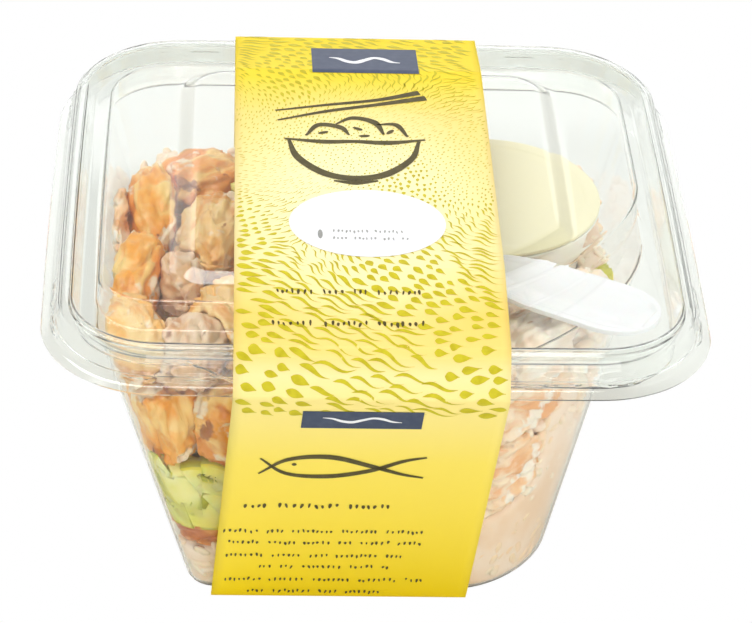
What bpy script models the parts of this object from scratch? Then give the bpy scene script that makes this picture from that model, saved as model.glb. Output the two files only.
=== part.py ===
"""Shut clear plastic pack of rice, flaked salmon and greens, with its spoon, dip pot and paper band.

Metres, +Z up. The origin is on the ground under the middle of the pack, and +Y is away from the front.
Heights named LOW or Z are measured from the rim's shoulder, the outer edge of the lid's bead.
"""
import math

import bmesh
import bpy
from mathutils import Euler, Vector, noise

MM = 0.001
PACK_NAME = "sushi_bowl"

# Sheets and clearances
LID_SHEET = 0.45 * MM
TUB_SHEET = 0.5 * MM
PAPER = 0.35 * MM
GAP = 0.3 * MM

# Pack seen from above: the shoulder's outline, and how far the middle of each side bulges
RIM_HALF = 70.0 * MM
RIM_CORNER = 22.0 * MM
REAR_CORNER_MORE = 3.5 * MM
SIDE_BOW = 0.8 * MM
CORNER_STEPS = 6
SIDE_STEPS = 3

# Tub: its depth, and how far the left, right, front and back of its mouth and base are inside the shoulder
TUB_DEPTH = 80.2 * MM
MOUTH_INSET = (8.4, 7.7, 7.3, 7.3)
MOUTH_LOW = -3.33 * MM
MOUTH_CORNER = 14.7 * MM
MOUTH_CUT = 56.5 * MM
BASE_INSET = (29.5, 27.6, 26.2, 26.8)
BASE_CORNER = 5.5 * MM
BASE_CUT = 20.0 * MM
BASE_EDGE = 1.6 * MM
SHELF_LOW = -8.2 * MM
SHELF_START = 3.0 * MM
SHELF_FULL = 8.0 * MM

# Rim sections, from the outer edge inwards: (inset, height above the shoulder), in millimetres.
# The lid's are on its upper side, and the tub's on its under side, so that they nest.
LID_RIM = ((-3.4, -5.75), (-1.2, -4.75), (0, 0), (0.55, 1.75), (2.03, 3.18), (3.4, 3.2), (5.0, -2.03))
TUB_RIM = ((0.38, -3.6), (1.21, -0.3), (1.6, 0.7), (2.6, 1.45), (4.05, -3.3))

# Lid's dome, whose front right corner is one big quarter curve, and the raised top on it, in millimetres
LAND_Z = -2.03 * MM
DOME_Z = 4.79 * MM
DOME_INSET = (9.0, 9.0, 16.25, 16.1)
DOME_CORNER = 11.5 * MM
DOME_CUT = 54.0 * MM
DOME_CUT_POWER = 1.227
DOME_DRAFT = 0.25
DOME_EDGE = 0.8
TOP_Z = 7.5 * MM
TOP_INSET = (25.3, 25.3, 22.65, 21.3)
TOP_SLOPE = 3.88
TOP_CORNER = 6.5 * MM
TOP_CUT_GAP = 5.0 * MM

# Paper band round the pack
BAND_WIDTH = 58.7 * MM
BAND_MIDDLE = -1.95 * MM
BAND_SHIFT = -4.1 * MM
BAND_SHIFT_START = 6.0 * MM
BAND_FOLD_Y = 45.0 * MM
BAND_BEND = 1.2 * MM
BAND_BEND_STEPS = 3
# Corners of the lid's rim that the band goes round: place in LID_RIM, and how far out and up it stays
BAND_CORNERS = ((0, 0.45, 0.0), (3, 0.5, 0.25), (4, 0.35, 0.5))

# Spoon lying under the lid, its round end in the front right corner
SPOON_TIP = (61.3 * MM, -46.0 * MM)
SPOON_HEADING = math.radians(149.0)
SPOON_LENGTH = 96.0 * MM
SPOON_BOWL_LENGTH = 46.0 * MM
SPOON_BOWL_WIDTH = 19.6 * MM
SPOON_HANDLE_WIDTH = 9.0 * MM
SPOON_DEPTH = 2.4 * MM
SPOON_SHEET = 1.1 * MM
SPOON_Z = -3.3 * MM
# Its round end in bowl widths, that curve's fullness, and the neck's start and length in bowl lengths
SPOON_ROUND_END = 0.62
SPOON_ROUND_POWER = 2.3
SPOON_NECK_START = 0.52
SPOON_NECK_LENGTH = 0.72
SPOON_DISH_START = 0.35
SPOON_DISH_EASE = 8.0 * MM
SPOON_ROWS = 28
SPOON_COLUMNS = 6

# Dip pot
POT_AT = (28.0 * MM, 13.0 * MM)
POT_TOP_Z = -7.0 * MM
POT_HEIGHT = 28.0 * MM
POT_RADIUS = 25.0 * MM
POT_BASE_RADIUS = 19.5 * MM
POT_LIP = 1.2 * MM
POT_SHEET = 0.6 * MM
POT_SEGMENTS = 32
POT_LID = 1.0 * MM
POT_ROOM = 0.4 * MM
DRESSING_LOW = 2.0 * MM

# Rice: its top is low along the wall at the front left, and high elsewhere
RICE_LOW = -66.0 * MM
RICE_RISE = 45.0 * MM
RICE_WALL = 47.0 * MM
RICE_SLOPE = 20.0 * MM
RICE_FAR_SLOPE = 28.0 * MM
RICE_RIGHT_START = -2.0 * MM
RICE_BACK_START = 12.0 * MM
RICE_BUMP = 1.6 * MM
RICE_GRAIN = 6.5 * MM
RICE_DENT = 0.014
RICE_SIDE_RINGS = 8
RICE_TOP_RINGS = 8

# Salmon: name, centre from the shoulder's height, half sizes, heading and tilt in degrees, in millimetres
SALMON = (
    ("orange_flake", (-50, 10, -11), (6.0, 16, 6.5), 4, 8),
    ("pale_flake", (-58, 6, -16), (4, 18, 10), 0, -6),
    ("crescent_flake", (-53.5, -21, -11), (6, 15, 7), -10, 10),
    ("grey_flake", (-43.5, -20, -12), (5.5, 13, 6.5), 8, -12),
    ("middle_flake", (-36, 0, -12), (8, 16, 6.5), -12, 6),
    ("far_flake", (-40, 27, -13), (12, 11, 7), 30, -8),
    ("far_band_flake", (-19, 30, -14), (13, 12, 7), -15, 6),
    ("band_flake", (-15, -22, -13), (12, 17, 7), -30, 6),
    ("band_rear_flake", (-16, 5, -13), (11, 13, 7), 10, -6),
    ("front_flake", (-54, -43, -12), (8.5, 12, 8), 24, 6),
    ("dark_flake", (-41, -47, -12), (8.5, 9.5, 7.5), -10, 5),
    ("band_left_flake", (-30, -37, -11), (10, 13, 7.5), 8, 4),
    ("band_front_flake", (-14, -50, -12.5), (15, 8, 7.5), 4, 5),
    ("corner_chunk", (-46.5, -42, -30), (13, 12, 14.5), 30, 0),
    ("front_chunk", (-29, -47, -29), (13, 9, 12), 6, 8),
    ("left_chunk", (-51, -12, -28), (10, 19, 10), 0, 12),
    ("left_rear_chunk", (-51, 20, -28), (10, 17, 9.5), 0, -8),
    ("band_front_chunk", (-6, -49, -28), (16, 8, 9), 2, 4),
    ("right_flake", (36, -38, -16), (11, 11, 7.5), 38, -6),
    ("right_chunk", (49, -17, -21), (9, 13, 10), 12, 8),
    ("right_front_chunk", (32, -49, -25), (20, 14, 13), 16, -6),
    ("right_low_chunk", (27, -46, -46), (18, 13, 12), -20, 4),
    ("low_strip", (-35, -42, -62), (16, 10, 4.8), -4, 6),
    ("low_side_strip", (-46, -17, -62.5), (9, 15, 4.5), 4, -4),
)
# Flakes: how square and uneven they are, and the low ridges across them
FLAKE_SQUARE = 0.8
FLAKE_LUMP = 0.2
FLAKE_LUMPS = 1.6
FLAKE_RIDGE = 0.06
FLAKE_RIDGES = (2, 7)
FLAKE_SEED_START = 2.0
FLAKE_SEED_STEP = 1.7
# Room left round each piece for its neighbours, and how near two points have to be to become one
ROOM_GAP = 0.39 * MM
MERGE = 0.02 * MM

# Cucumber: a heap of pieces at the front left, and single pieces that show elsewhere
GREEN_HEAP = ((-37, -24, -48.5), (28, 40, 10.5))
GREEN_HEAP_SEED = 3.0
GREEN_LUMPS = 22
GREEN_LUMP_HALF = (3.6, 8.5, 4.0)
GREEN_LUMP_TOP = 0.75
GREEN_LUMP_SPREAD = (0.9, 0.9, 0.85)
GREEN_LUMP_TURN = 70
GREEN_LUMP_TILT = 25
GREENS = (
    ("top_green", (-28, 17, -8), (3.5, 8.0, 3.0), -24, 10),
    ("right_green", (54, -2, -20), (4.0, 7.5, 5.0), 12, 0),
)

COLOURS = {
    "clear_lid": ((0.93, 0.96, 0.95), 0.05),
    "clear_tub": ((0.93, 0.96, 0.95), 0.06),
    "paper": ((0.93, 0.82, 0.26), 0.55),
    "spoon": ((0.93, 0.93, 0.92), 0.30),
    "pot": ((0.92, 0.92, 0.88), 0.25),
    "dressing": ((0.93, 0.86, 0.55), 0.25),
    "rice": ((0.86, 0.78, 0.68), 0.60),
    "salmon": ((0.86, 0.46, 0.22), 0.45),
    "pale_salmon": ((0.88, 0.66, 0.52), 0.45),
    "green": ((0.45, 0.62, 0.15), 0.45),
}
PALE = {
    "pale_flake", "right_flake", "right_chunk", "right_front_chunk", "right_low_chunk", "low_side_strip",
}

RIM_Z = PAPER + GAP + TUB_DEPTH
CAVITY_FLOOR = -TUB_DEPTH + TUB_SHEET + GAP
CAVITY_TOP = -4.0 * MM


def clear_scene():
    """Remove whatever the scene holds."""
    for old in list(bpy.data.objects):
        bpy.data.objects.remove(old, do_unlink=True)


def collection(name):
    """New collection in the scene."""
    group = bpy.data.collections.new(name)
    bpy.context.scene.collection.children.link(group)
    return group


def material(name):
    """Plain material from COLOURS, made once."""
    found = bpy.data.materials.get(name)
    if found:
        return found
    colour, roughness = COLOURS[name]
    made = bpy.data.materials.new(name)
    made.use_nodes = True
    shader = made.node_tree.nodes["Principled BSDF"]
    shader.inputs["Base Color"].default_value = (*colour, 1)
    shader.inputs["Roughness"].default_value = roughness
    shader.inputs["Metallic"].default_value = 0
    return made


def make_object(name, mesh_data, group, finish=None):
    """Mesh built from a bmesh, as a named object in a collection."""
    mesh = bpy.data.meshes.new(name)
    bmesh.ops.recalc_face_normals(mesh_data, faces=mesh_data.faces)
    mesh_data.to_mesh(mesh)
    mesh_data.free()
    made = bpy.data.objects.new(name, mesh)
    group.objects.link(made)
    if finish:
        mesh.materials.append(material(finish))
        mesh.shade_smooth()
        mesh.set_sharp_from_angle(angle=math.radians(35))
    else:
        made.hide_render = True
        made.display_type = "WIRE"
    return made


def smooth_step(value):
    """0 to 1 with flat ends."""
    value = min(max(value, 0), 1)
    return value * value * (3 - 2 * value)


def sides(inset):
    """x and y of the left, right, front and back side, from one inset or four."""
    left, right, front, back = inset if isinstance(inset, tuple) else (inset,) * 4
    return -RIM_HALF + left, RIM_HALF - right, -RIM_HALF + front, RIM_HALF - back


def quarter(radius, start, power):
    """Quarter curve about the origin, from an angle in quarter turns on."""
    points = []
    for step in range(CORNER_STEPS + 1):
        angle = math.pi / 2 * (start + step / CORNER_STEPS)
        c, s = math.cos(angle), math.sin(angle)
        x, y = (math.copysign(abs(part) ** power, part) * radius for part in (c, s))
        points.append((x, y))
    return points


def outline(inset, corner, cut=None, clip_inset=None):
    """Loop round the pack, anticlockwise from the front right corner.

    cut is the big radius of the front right corner. With clip_inset, the sides there clip that curve.
    """
    x0, x1, y0, y1 = sides(inset)
    big = cut or corner
    rear = corner + REAR_CORNER_MORE
    power = DOME_CUT_POWER if cut else 1
    if clip_inset:
        cut_x1, cut_y0 = sides(clip_inset)[1:3]
    else:
        cut_x1, cut_y0 = x1, y0
    corners = [[(cut_x1 - big + x, cut_y0 + big + y) for x, y in quarter(big, -1, power)]]
    if clip_inset:
        corners[0] = [(min(x, x1), max(y, y0)) for x, y in corners[0]]
    for start, x, y, radius in ((0, x1, y1, rear), (1, x0, y1, rear), (2, x0, y0, corner)):
        x, y = x - math.copysign(radius, x), y - math.copysign(radius, y)
        corners.append([(x + dx, y + dy) for dx, dy in quarter(radius, start, 1)])
    loop = []
    for index, points in enumerate(corners):
        loop += points
        ahead = corners[(index + 1) % 4][0]
        for step in range(1, SIDE_STEPS + 1):
            t = step / (SIDE_STEPS + 1)
            loop.append(tuple(a + (b - a) * t for a, b in zip(points[-1], ahead)))
    bowed = []
    for x, y in loop:
        pull_x = 1 - SIDE_BOW / RIM_HALF * (y / RIM_HALF) ** 2
        pull_y = 1 - SIDE_BOW / RIM_HALF * (x / RIM_HALF) ** 2
        bowed.append((x * pull_x, y * pull_y))
    return bowed


def ring(loop, low):
    """Loop of points at one height from the shoulder, or at one height for each point."""
    lows = low if isinstance(low, list) else [low] * len(loop)
    return [Vector((x, y, RIM_Z + z)) for (x, y), z in zip(loop, lows)]


def loft(rings, close_first=False, close_last=False):
    """Faces between rings of equal length, with flat ends where asked."""
    built = bmesh.new()
    rows = [[built.verts.new(point) for point in points] for points in rings]
    count = len(rows[0])
    for below, above in zip(rows, rows[1:]):
        for index in range(count):
            after = (index + 1) % count
            built.faces.new((below[index], below[after], above[after], above[index]))
    if close_first:
        built.faces.new(list(reversed(rows[0])))
    if close_last:
        built.faces.new(rows[-1])
    return built


def thicken(thing, thickness, inward=True):
    """Give an open sheet its thickness, away from the side that its faces look to if inward."""
    sheet = thing.modifiers.new("sheet", "SOLIDIFY")
    sheet.thickness = thickness
    sheet.offset = -1 if inward else 1
    sheet.use_even_offset = True
    return thing


def upward_look(built):
    """Make an open sheet's faces look one way, then say how far up its widest face looks."""
    bmesh.ops.recalc_face_normals(built, faces=built.faces)
    built.normal_update()
    widest = max(built.faces, key=lambda face: face.calc_area())
    return widest.normal.z


def sheet_object(name, rings, group, finish, thickness, flat_up):
    """Loft closed at its last ring, as a sheet whose named side keeps its place.

    flat_up says which way the outer side of the flat end looks.
    """
    built = loft(rings, close_last=True)
    if (upward_look(built) > 0) != flat_up:
        bmesh.ops.reverse_faces(built, faces=built.faces)
    mesh = bpy.data.meshes.new(name)
    built.to_mesh(mesh)
    built.free()
    mesh.materials.append(material(finish))
    mesh.shade_smooth()
    mesh.set_sharp_from_angle(angle=math.radians(35))
    made = bpy.data.objects.new(name, mesh)
    group.objects.link(made)
    return thicken(made, thickness)


def mouth_loop(extra=0.0):
    """Outline of the tub's mouth, moved in by extra. Its front right corner follows the dome's."""
    inset = tuple(side * MM + extra for side in MOUTH_INSET)
    return outline(inset, MOUTH_CORNER - extra, MOUTH_CUT - extra)


def base_loop(extra=0.0):
    """Outline of the tub's base, moved in by extra."""
    inset = tuple(side * MM + extra for side in BASE_INSET)
    return outline(inset, BASE_CORNER - extra, BASE_CUT - extra)


def shelf_lows(outer, inner):
    """Heights along the mouth: sunk to the shelf where the flange is wide."""
    lows = []
    for (x0, y0), (x1, y1) in zip(outer, inner):
        wide = math.hypot(x1 - x0, y1 - y0)
        sunk = smooth_step((wide - SHELF_START) / (SHELF_FULL - SHELF_START))
        lows.append(MOUTH_LOW + (SHELF_LOW - MOUTH_LOW) * sunk)
    return lows


def rim_rings(section):
    """Rings that follow a rim section of (inset, height) pairs in millimetres."""
    return [ring(outline(inset * MM, RIM_CORNER - inset * MM), low * MM) for inset, low in section]


def add_tub(group):
    """Tub with its nested rim, the sunk corner shelf and sloping walls."""
    rings = rim_rings(TUB_RIM)
    foot = TUB_RIM[-1][0] * MM
    outer = outline(foot + GAP, RIM_CORNER - foot - GAP)
    mouth = mouth_loop()
    lows = shelf_lows(outer, mouth)
    rings.append(ring(outer, lows))
    rings.append(ring(mouth, lows))
    base = base_loop()
    wall_share = 1 - BASE_EDGE / TUB_DEPTH
    wall = [tuple(a + (b - a) * wall_share for a, b in zip(m, e)) for m, e in zip(mouth, base)]
    rings.append(ring(wall, BASE_EDGE - TUB_DEPTH))
    rings.append(ring(base_loop(BASE_EDGE), -TUB_DEPTH))
    return sheet_object("tub", rings, group, "clear_tub", TUB_SHEET, flat_up=False)


def dome_loop(extra=0.0):
    """Outline of the lid's dome, moved in by extra millimetres."""
    inset = tuple((side + extra) * MM for side in DOME_INSET)
    return outline(inset, DOME_CORNER - extra * MM, DOME_CUT - extra * MM)


def top_loop(extra=0.0):
    """Outline of the raised top, moved in by extra millimetres, clear of the dome's cut corner."""
    inset = tuple((side + extra) * MM for side in TOP_INSET)
    clip = tuple(side * MM for side in DOME_INSET)
    clip = tuple(side + TOP_CUT_GAP + extra * MM for side in clip)
    return outline(inset, TOP_CORNER - extra / 2 * MM, DOME_CUT - TOP_CUT_GAP - extra * MM, clip)


def add_lid(group):
    """Lid: skirt, bead, sunk land, dome and raised top."""
    rings = rim_rings(LID_RIM)
    rings.append(ring(dome_loop(-DOME_DRAFT), LAND_Z))
    rings.append(ring(dome_loop(), DOME_Z - DOME_EDGE * MM))
    rings.append(ring(dome_loop(DOME_EDGE), DOME_Z))
    rings.append(ring(top_loop(), DOME_Z))
    rings.append(ring(top_loop(TOP_SLOPE), TOP_Z))
    return sheet_object("lid", rings, group, "clear_lid", LID_SHEET, flat_up=True)


def rounded_path(points, radius, steps):
    """Closed path of (y, z) points whose corners are short arcs."""
    path = []
    count = len(points)
    for index, here in enumerate(points):
        here = Vector(here)
        back = (Vector(points[index - 1]) - here).normalized()
        ahead = (Vector(points[(index + 1) % count]) - here).normalized()
        half_angle = back.angle(ahead) / 2
        reach = min(radius / math.tan(half_angle), radius * 2)
        start, end = here + back * reach, here + ahead * reach
        for step in range(steps + 1):
            t = step / steps
            path.append(start * (1 - t) ** 2 + here * 2 * t * (1 - t) + end * t ** 2)
    return path


def band_shift(y, low):
    """Sideways shift of the band, which runs slightly askew down the front and under the base."""
    if low < -TUB_DEPTH + BASE_EDGE:
        return BAND_SHIFT * (0.5 - y / (2 * BAND_FOLD_Y))
    if y < 0:
        fall = (-low - BAND_SHIFT_START) / (TUB_DEPTH - BAND_SHIFT_START)
        return BAND_SHIFT * min(max(fall, 0), 1)
    return 0.0


def add_band(group):
    """Paper band: over the lid, down the front and back, and under the base."""
    fronts = [(BAND_FOLD_Y, -TUB_DEPTH - GAP)]
    for index, out, up in BAND_CORNERS:
        inset, low = LID_RIM[index]
        fronts.append((RIM_HALF + (out - inset) * MM, (low + up) * MM))
    top_front, top_back = sides(tuple((side + TOP_SLOPE) * MM for side in TOP_INSET))[2:]
    points = [(-y, z) for y, z in fronts] + [(top_front, TOP_Z + GAP), (top_back, TOP_Z + GAP)]
    points += [(y, z) for y, z in reversed(fronts)]
    path = rounded_path(points, BAND_BEND, BAND_BEND_STEPS)
    built = bmesh.new()
    rows = []
    for y, low in path:
        middle = BAND_MIDDLE + band_shift(y, low)
        edges = (middle - BAND_WIDTH / 2, middle + BAND_WIDTH / 2)
        rows.append([built.verts.new((x, y, RIM_Z + low)) for x in edges])
    for index, row in enumerate(rows):
        after = rows[(index + 1) % len(rows)]
        built.faces.new((row[0], row[1], after[1], after[0]))
    bmesh.ops.recalc_face_normals(built, faces=built.faces)
    built.normal_update()
    top = max(built.faces, key=lambda face: face.calc_center_median().z)
    if top.normal.z < 0:
        bmesh.ops.reverse_faces(built, faces=built.faces)
    mesh = bpy.data.meshes.new("band")
    built.to_mesh(mesh)
    built.free()
    mesh.materials.append(material("paper"))
    made = bpy.data.objects.new("band", mesh)
    group.objects.link(made)
    return thicken(made, PAPER, inward=False)


def spoon_half_width(along):
    """Half width of the spoon at a distance from its tip."""
    bowl, handle = SPOON_BOWL_WIDTH / 2, SPOON_HANDLE_WIDTH / 2
    round_end = SPOON_BOWL_WIDTH * SPOON_ROUND_END
    if along < round_end:
        return bowl * math.sqrt(1 - (1 - along / round_end) ** SPOON_ROUND_POWER)
    neck = smooth_step((along / SPOON_BOWL_LENGTH - SPOON_NECK_START) / SPOON_NECK_LENGTH)
    left = SPOON_LENGTH - along
    if left < handle:
        return math.sqrt(handle ** 2 - (handle - left) ** 2)
    return bowl + (handle - bowl) * neck


def add_spoon(group):
    """White spoon: a sheet that is dished at its round end, with a plain flat handle."""
    built = bmesh.new()
    rows = []
    for step in range(1, SPOON_ROWS):
        along = SPOON_LENGTH * (1 - math.cos(math.pi * step / SPOON_ROWS)) / 2
        half = spoon_half_width(along)
        dish = 1 - smooth_step(along / SPOON_BOWL_LENGTH - SPOON_DISH_START)
        dish *= SPOON_DEPTH * smooth_step(along / SPOON_DISH_EASE)
        row = []
        for side in range(SPOON_COLUMNS + 1):
            s = side / SPOON_COLUMNS * 2 - 1
            row.append(built.verts.new((along, half * s, -dish * (1 - s * s))))
        rows.append(row)
    for near, far in zip(rows, rows[1:]):
        for side in range(SPOON_COLUMNS):
            built.faces.new((near[side], far[side], far[side + 1], near[side + 1]))
    built.normal_update()
    mesh = bpy.data.meshes.new("spoon")
    built.to_mesh(mesh)
    built.free()
    mesh.materials.append(material("spoon"))
    mesh.shade_smooth()
    made = bpy.data.objects.new("spoon", mesh)
    made.location = (*SPOON_TIP, RIM_Z + SPOON_Z)
    made.rotation_euler = (0, 0, SPOON_HEADING)
    group.objects.link(made)
    return thicken(made, SPOON_SHEET)


def turned(name, profile, group, finish=None):
    """Body turned about the pot's axis from a profile of (radius, height) points, outer side first."""
    built = bmesh.new()
    verts = [built.verts.new((radius, 0, height)) for radius, height in profile]
    for a, b in zip(verts, verts[1:]):
        built.edges.new((a, b))
    mesh = bpy.data.meshes.new(name)
    built.to_mesh(mesh)
    built.free()
    made = bpy.data.objects.new(name, mesh)
    made.location = (*POT_AT, RIM_Z + POT_TOP_Z)
    group.objects.link(made)
    screw = made.modifiers.new("turn", "SCREW")
    screw.steps = POT_SEGMENTS
    screw.render_steps = POT_SEGMENTS
    screw.use_merge_vertices = True
    screw.merge_threshold = 0.0001 * MM
    screw.use_smooth_shade = True
    if finish:
        mesh.materials.append(material(finish))
    else:
        made.hide_render = True
        made.display_type = "WIRE"
    return made


def add_pot(group, cutters):
    """Dip pot, its dressing and its flat lid, and the room that they take."""
    top, low = POT_RADIUS, -POT_HEIGHT
    lid_low = -POT_LID
    inner_top = top - POT_SHEET
    inner_base = POT_BASE_RADIUS - POT_SHEET
    floor = low + POT_SHEET
    turned("dip_pot", [
        (top + POT_LIP, lid_low - GAP), (top + POT_LIP, lid_low - GAP - POT_SHEET),
        (top, lid_low - GAP - POT_SHEET),
        (POT_BASE_RADIUS, low), (0, low), (0, floor), (inner_base, floor), (inner_top, lid_low - GAP),
        (top + POT_LIP, lid_low - GAP)], group, "pot")
    film = [(0, 0), (top + POT_LIP, 0), (top + POT_LIP, lid_low), (0, lid_low)]
    turned("dip_pot_lid", film, group, "pot")
    fill = lid_low - GAP - DRESSING_LOW
    share = (fill - floor) / (lid_low - GAP - floor)
    fill_radius = inner_base + (inner_top - inner_base) * share - GAP
    turned("dressing", [(0, fill), (fill_radius, fill), (inner_base - GAP, floor + GAP), (0, floor + GAP)],
           group, "dressing")
    lip_low = lid_low - GAP - POT_SHEET - POT_ROOM
    return turned("room_for_pot", [
        (0, POT_ROOM), (top + POT_LIP + POT_ROOM, POT_ROOM), (top + POT_LIP + POT_ROOM, lip_low),
        (top + POT_ROOM, lip_low), (POT_BASE_RADIUS + POT_ROOM, low - POT_ROOM),
        (0, low - POT_ROOM)], cutters)


def blob(name, half, group, finish, seed, grow=0.0, subdivisions=2):
    """Uneven rounded lump with low ridges across it, in the manner of cooked flakes."""
    built = bmesh.new()
    bmesh.ops.create_icosphere(built, subdivisions=subdivisions, radius=1)
    for vert in built.verts:
        x, y, z = (math.copysign(abs(value) ** FLAKE_SQUARE, value) for value in vert.co)
        lump = 1 + FLAKE_LUMP * noise.noise(vert.co * FLAKE_LUMPS + Vector((seed, seed, 0)))
        reach = lump + FLAKE_RIDGE * math.sin(x * FLAKE_RIDGES[0] + y * FLAKE_RIDGES[1] + seed)
        vert.co = Vector((
            (half[0] * MM * reach + grow) * x,
            (half[1] * MM * lump + grow) * y,
            (half[2] * MM * reach + grow) * z,
        ))
    return make_object(name, built, group, finish)


def place(thing, centre, heading, tilt):
    """Put a piece where the list says, turned about Z and tilted about its long side."""
    thing.location = (centre[0] * MM, centre[1] * MM, RIM_Z + centre[2] * MM)
    thing.rotation_euler = Euler((math.radians(tilt), 0, math.radians(heading)))
    bpy.context.view_layer.update()


def world_box(thing):
    """Lowest and highest corner of an object in the world."""
    corners = [thing.matrix_world @ Vector(corner) for corner in thing.bound_box]
    low = Vector([min(corner[axis] for corner in corners) for axis in range(3)])
    high = Vector([max(corner[axis] for corner in corners) for axis in range(3)])
    return low, high


def boxes_meet(one, other):
    """Whether two objects' boxes overlap."""
    (a_low, a_high), (b_low, b_high) = world_box(one), world_box(other)
    return all(a_low[axis] < b_high[axis] and b_low[axis] < a_high[axis] for axis in range(3))


def cut(thing, cutter, how="DIFFERENCE"):
    """Boolean with one cutter."""
    tool = thing.modifiers.new(cutter.name, "BOOLEAN")
    tool.operation = how
    tool.object = cutter
    tool.solver = "EXACT"


def cavity_loop(low):
    """Outline of the room inside the tub at a height, with the slant at the foot of its wall."""
    share = -low / TUB_DEPTH
    inside = TUB_SHEET + GAP
    inside += max(BASE_EDGE - (low - CAVITY_FLOOR), 0)
    pairs = zip(mouth_loop(inside), base_loop(inside))
    return [tuple(a + (b - a) * share for a, b in zip(upper, lower)) for upper, lower in pairs]


def add_cavity(cutters):
    """Space inside the tub, up to just under the lid's land."""
    lows = (CAVITY_FLOOR, CAVITY_FLOOR + BASE_EDGE, CAVITY_TOP)
    rings = [ring(cavity_loop(low), low) for low in lows]
    return make_object("cavity", loft(rings, close_first=True, close_last=True), cutters)


def rice_low(x, y):
    """Height of the rice's top from the shoulder."""
    inner = smooth_step((min(x, y) + RICE_WALL) / RICE_SLOPE)
    right = smooth_step((x - RICE_RIGHT_START) / RICE_FAR_SLOPE)
    back = smooth_step((y - RICE_BACK_START) / RICE_FAR_SLOPE)
    rise = 1 - (1 - inner) * (1 - right) * (1 - back)
    place = Vector((x, y, 0)) / RICE_GRAIN
    bump = noise.noise(place) + 0.5 * noise.noise(place * 2)
    return RICE_LOW + RICE_RISE * rise + RICE_BUMP * bump


def add_rice(group):
    """Bed of rice out to the tub's walls, with a lumpy top."""
    wall_top = [rice_low(x, y) for x, y in cavity_loop(-TUB_DEPTH * 0.6)]
    steps = len(wall_top)
    foot = CAVITY_FLOOR + BASE_EDGE
    rings = [ring(cavity_loop(CAVITY_FLOOR), CAVITY_FLOOR)]
    for row in range(RICE_SIDE_RINGS + 1):
        t = row / RICE_SIDE_RINGS
        points = []
        for index in range(steps):
            low = foot + (wall_top[index] - foot) * t
            x, y = cavity_loop(low)[index]
            dent = 0.0
            if row:
                dent = RICE_DENT * abs(noise.noise(Vector((x, y, low)) / RICE_GRAIN))
            points.append(Vector((x * (1 - dent), y * (1 - dent), RIM_Z + low)))
        rings.append(points)
    edge = rings[-1]
    middle = sum(edge, Vector()) / steps
    for row in range(1, RICE_TOP_RINGS):
        t = row / RICE_TOP_RINGS
        points = []
        for point in edge:
            x, y = point.x + (middle.x - point.x) * t, point.y + (middle.y - point.y) * t
            points.append(Vector((x, y, RIM_Z + rice_low(x, y))))
        rings.append(points)
    return make_object("rice", loft(rings, close_first=True, close_last=True), group, "rice")


def lump_places():
    """Places of the green lumps, spread over the heap by a golden-angle rule."""
    centre, half = GREEN_HEAP
    golden = math.pi * (3 - math.sqrt(5))
    for index in range(GREEN_LUMPS):
        z = GREEN_LUMP_TOP * (1 - 2 * (index + 0.5) / GREEN_LUMPS)
        around = index * golden
        flat = math.sqrt(1 - z * z)
        way = (flat * math.cos(around), flat * math.sin(around), z)
        spot = tuple(c + h * spread * w for c, h, spread, w in zip(centre, half, GREEN_LUMP_SPREAD, way))
        yield index, spot, math.degrees(around) + GREEN_LUMP_TURN * (index % 3)


def join_all(thing, group_name, others, group):
    """Union of a piece with a collection of others, applied, with the others then removed."""
    helper = collection(group_name)
    for other in others:
        group.objects.unlink(other)
        helper.objects.link(other)
    tool = thing.modifiers.new("fuse", "BOOLEAN")
    tool.operation = "UNION"
    tool.operand_type = "COLLECTION"
    tool.collection = helper
    tool.solver = "EXACT"
    bpy.context.view_layer.update()
    apply_modifiers(thing)
    for other in others:
        bpy.data.objects.remove(other, do_unlink=True)
    bpy.data.collections.remove(helper)


def apply_modifiers(thing):
    """Replace a piece's mesh by what its modifiers make of it."""
    evaluated = thing.evaluated_get(bpy.context.evaluated_depsgraph_get())
    mesh = bpy.data.meshes.new_from_object(evaluated)
    thing.modifiers.clear()
    thing.data = mesh


def keep_largest(thing):
    """Apply a piece's cuts and drop the loose scraps that they leave."""
    bpy.context.view_layer.update()
    apply_modifiers(thing)
    built = bmesh.new()
    built.from_mesh(thing.data)
    bmesh.ops.remove_doubles(built, verts=built.verts, dist=MERGE)
    bmesh.ops.dissolve_degenerate(built, edges=built.edges, dist=MERGE)
    islands = []
    left = set(built.verts)
    while left:
        stack = [left.pop()]
        island = set(stack)
        while stack:
            for edge in stack.pop().link_edges:
                for vert in edge.verts:
                    if vert in left:
                        left.remove(vert)
                        island.add(vert)
                        stack.append(vert)
        islands.append(island)
    islands.sort(key=len)
    for island in islands[:-1]:
        bmesh.ops.delete(built, geom=list(island), context="VERTS")
    bmesh.ops.recalc_face_normals(built, faces=built.faces)
    built.to_mesh(thing.data)
    built.free()


def green_heap(name, group, finish, grow):
    """Heap of greens: a flat core with lumps fused over it."""
    centre, half = GREEN_HEAP
    core = blob(name, half, group, finish, GREEN_HEAP_SEED, grow)
    place(core, centre, 0, 0)
    lumps = []
    for index, spot, heading in lump_places():
        lump = blob(f"{name}_lump_{index:02d}", GREEN_LUMP_HALF, group, finish, index, grow, subdivisions=1)
        place(lump, spot, heading, GREEN_LUMP_TILT * (index % 2))
        lumps.append(lump)
    join_all(core, f"{name}_lumps", lumps, group)
    return core


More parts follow.
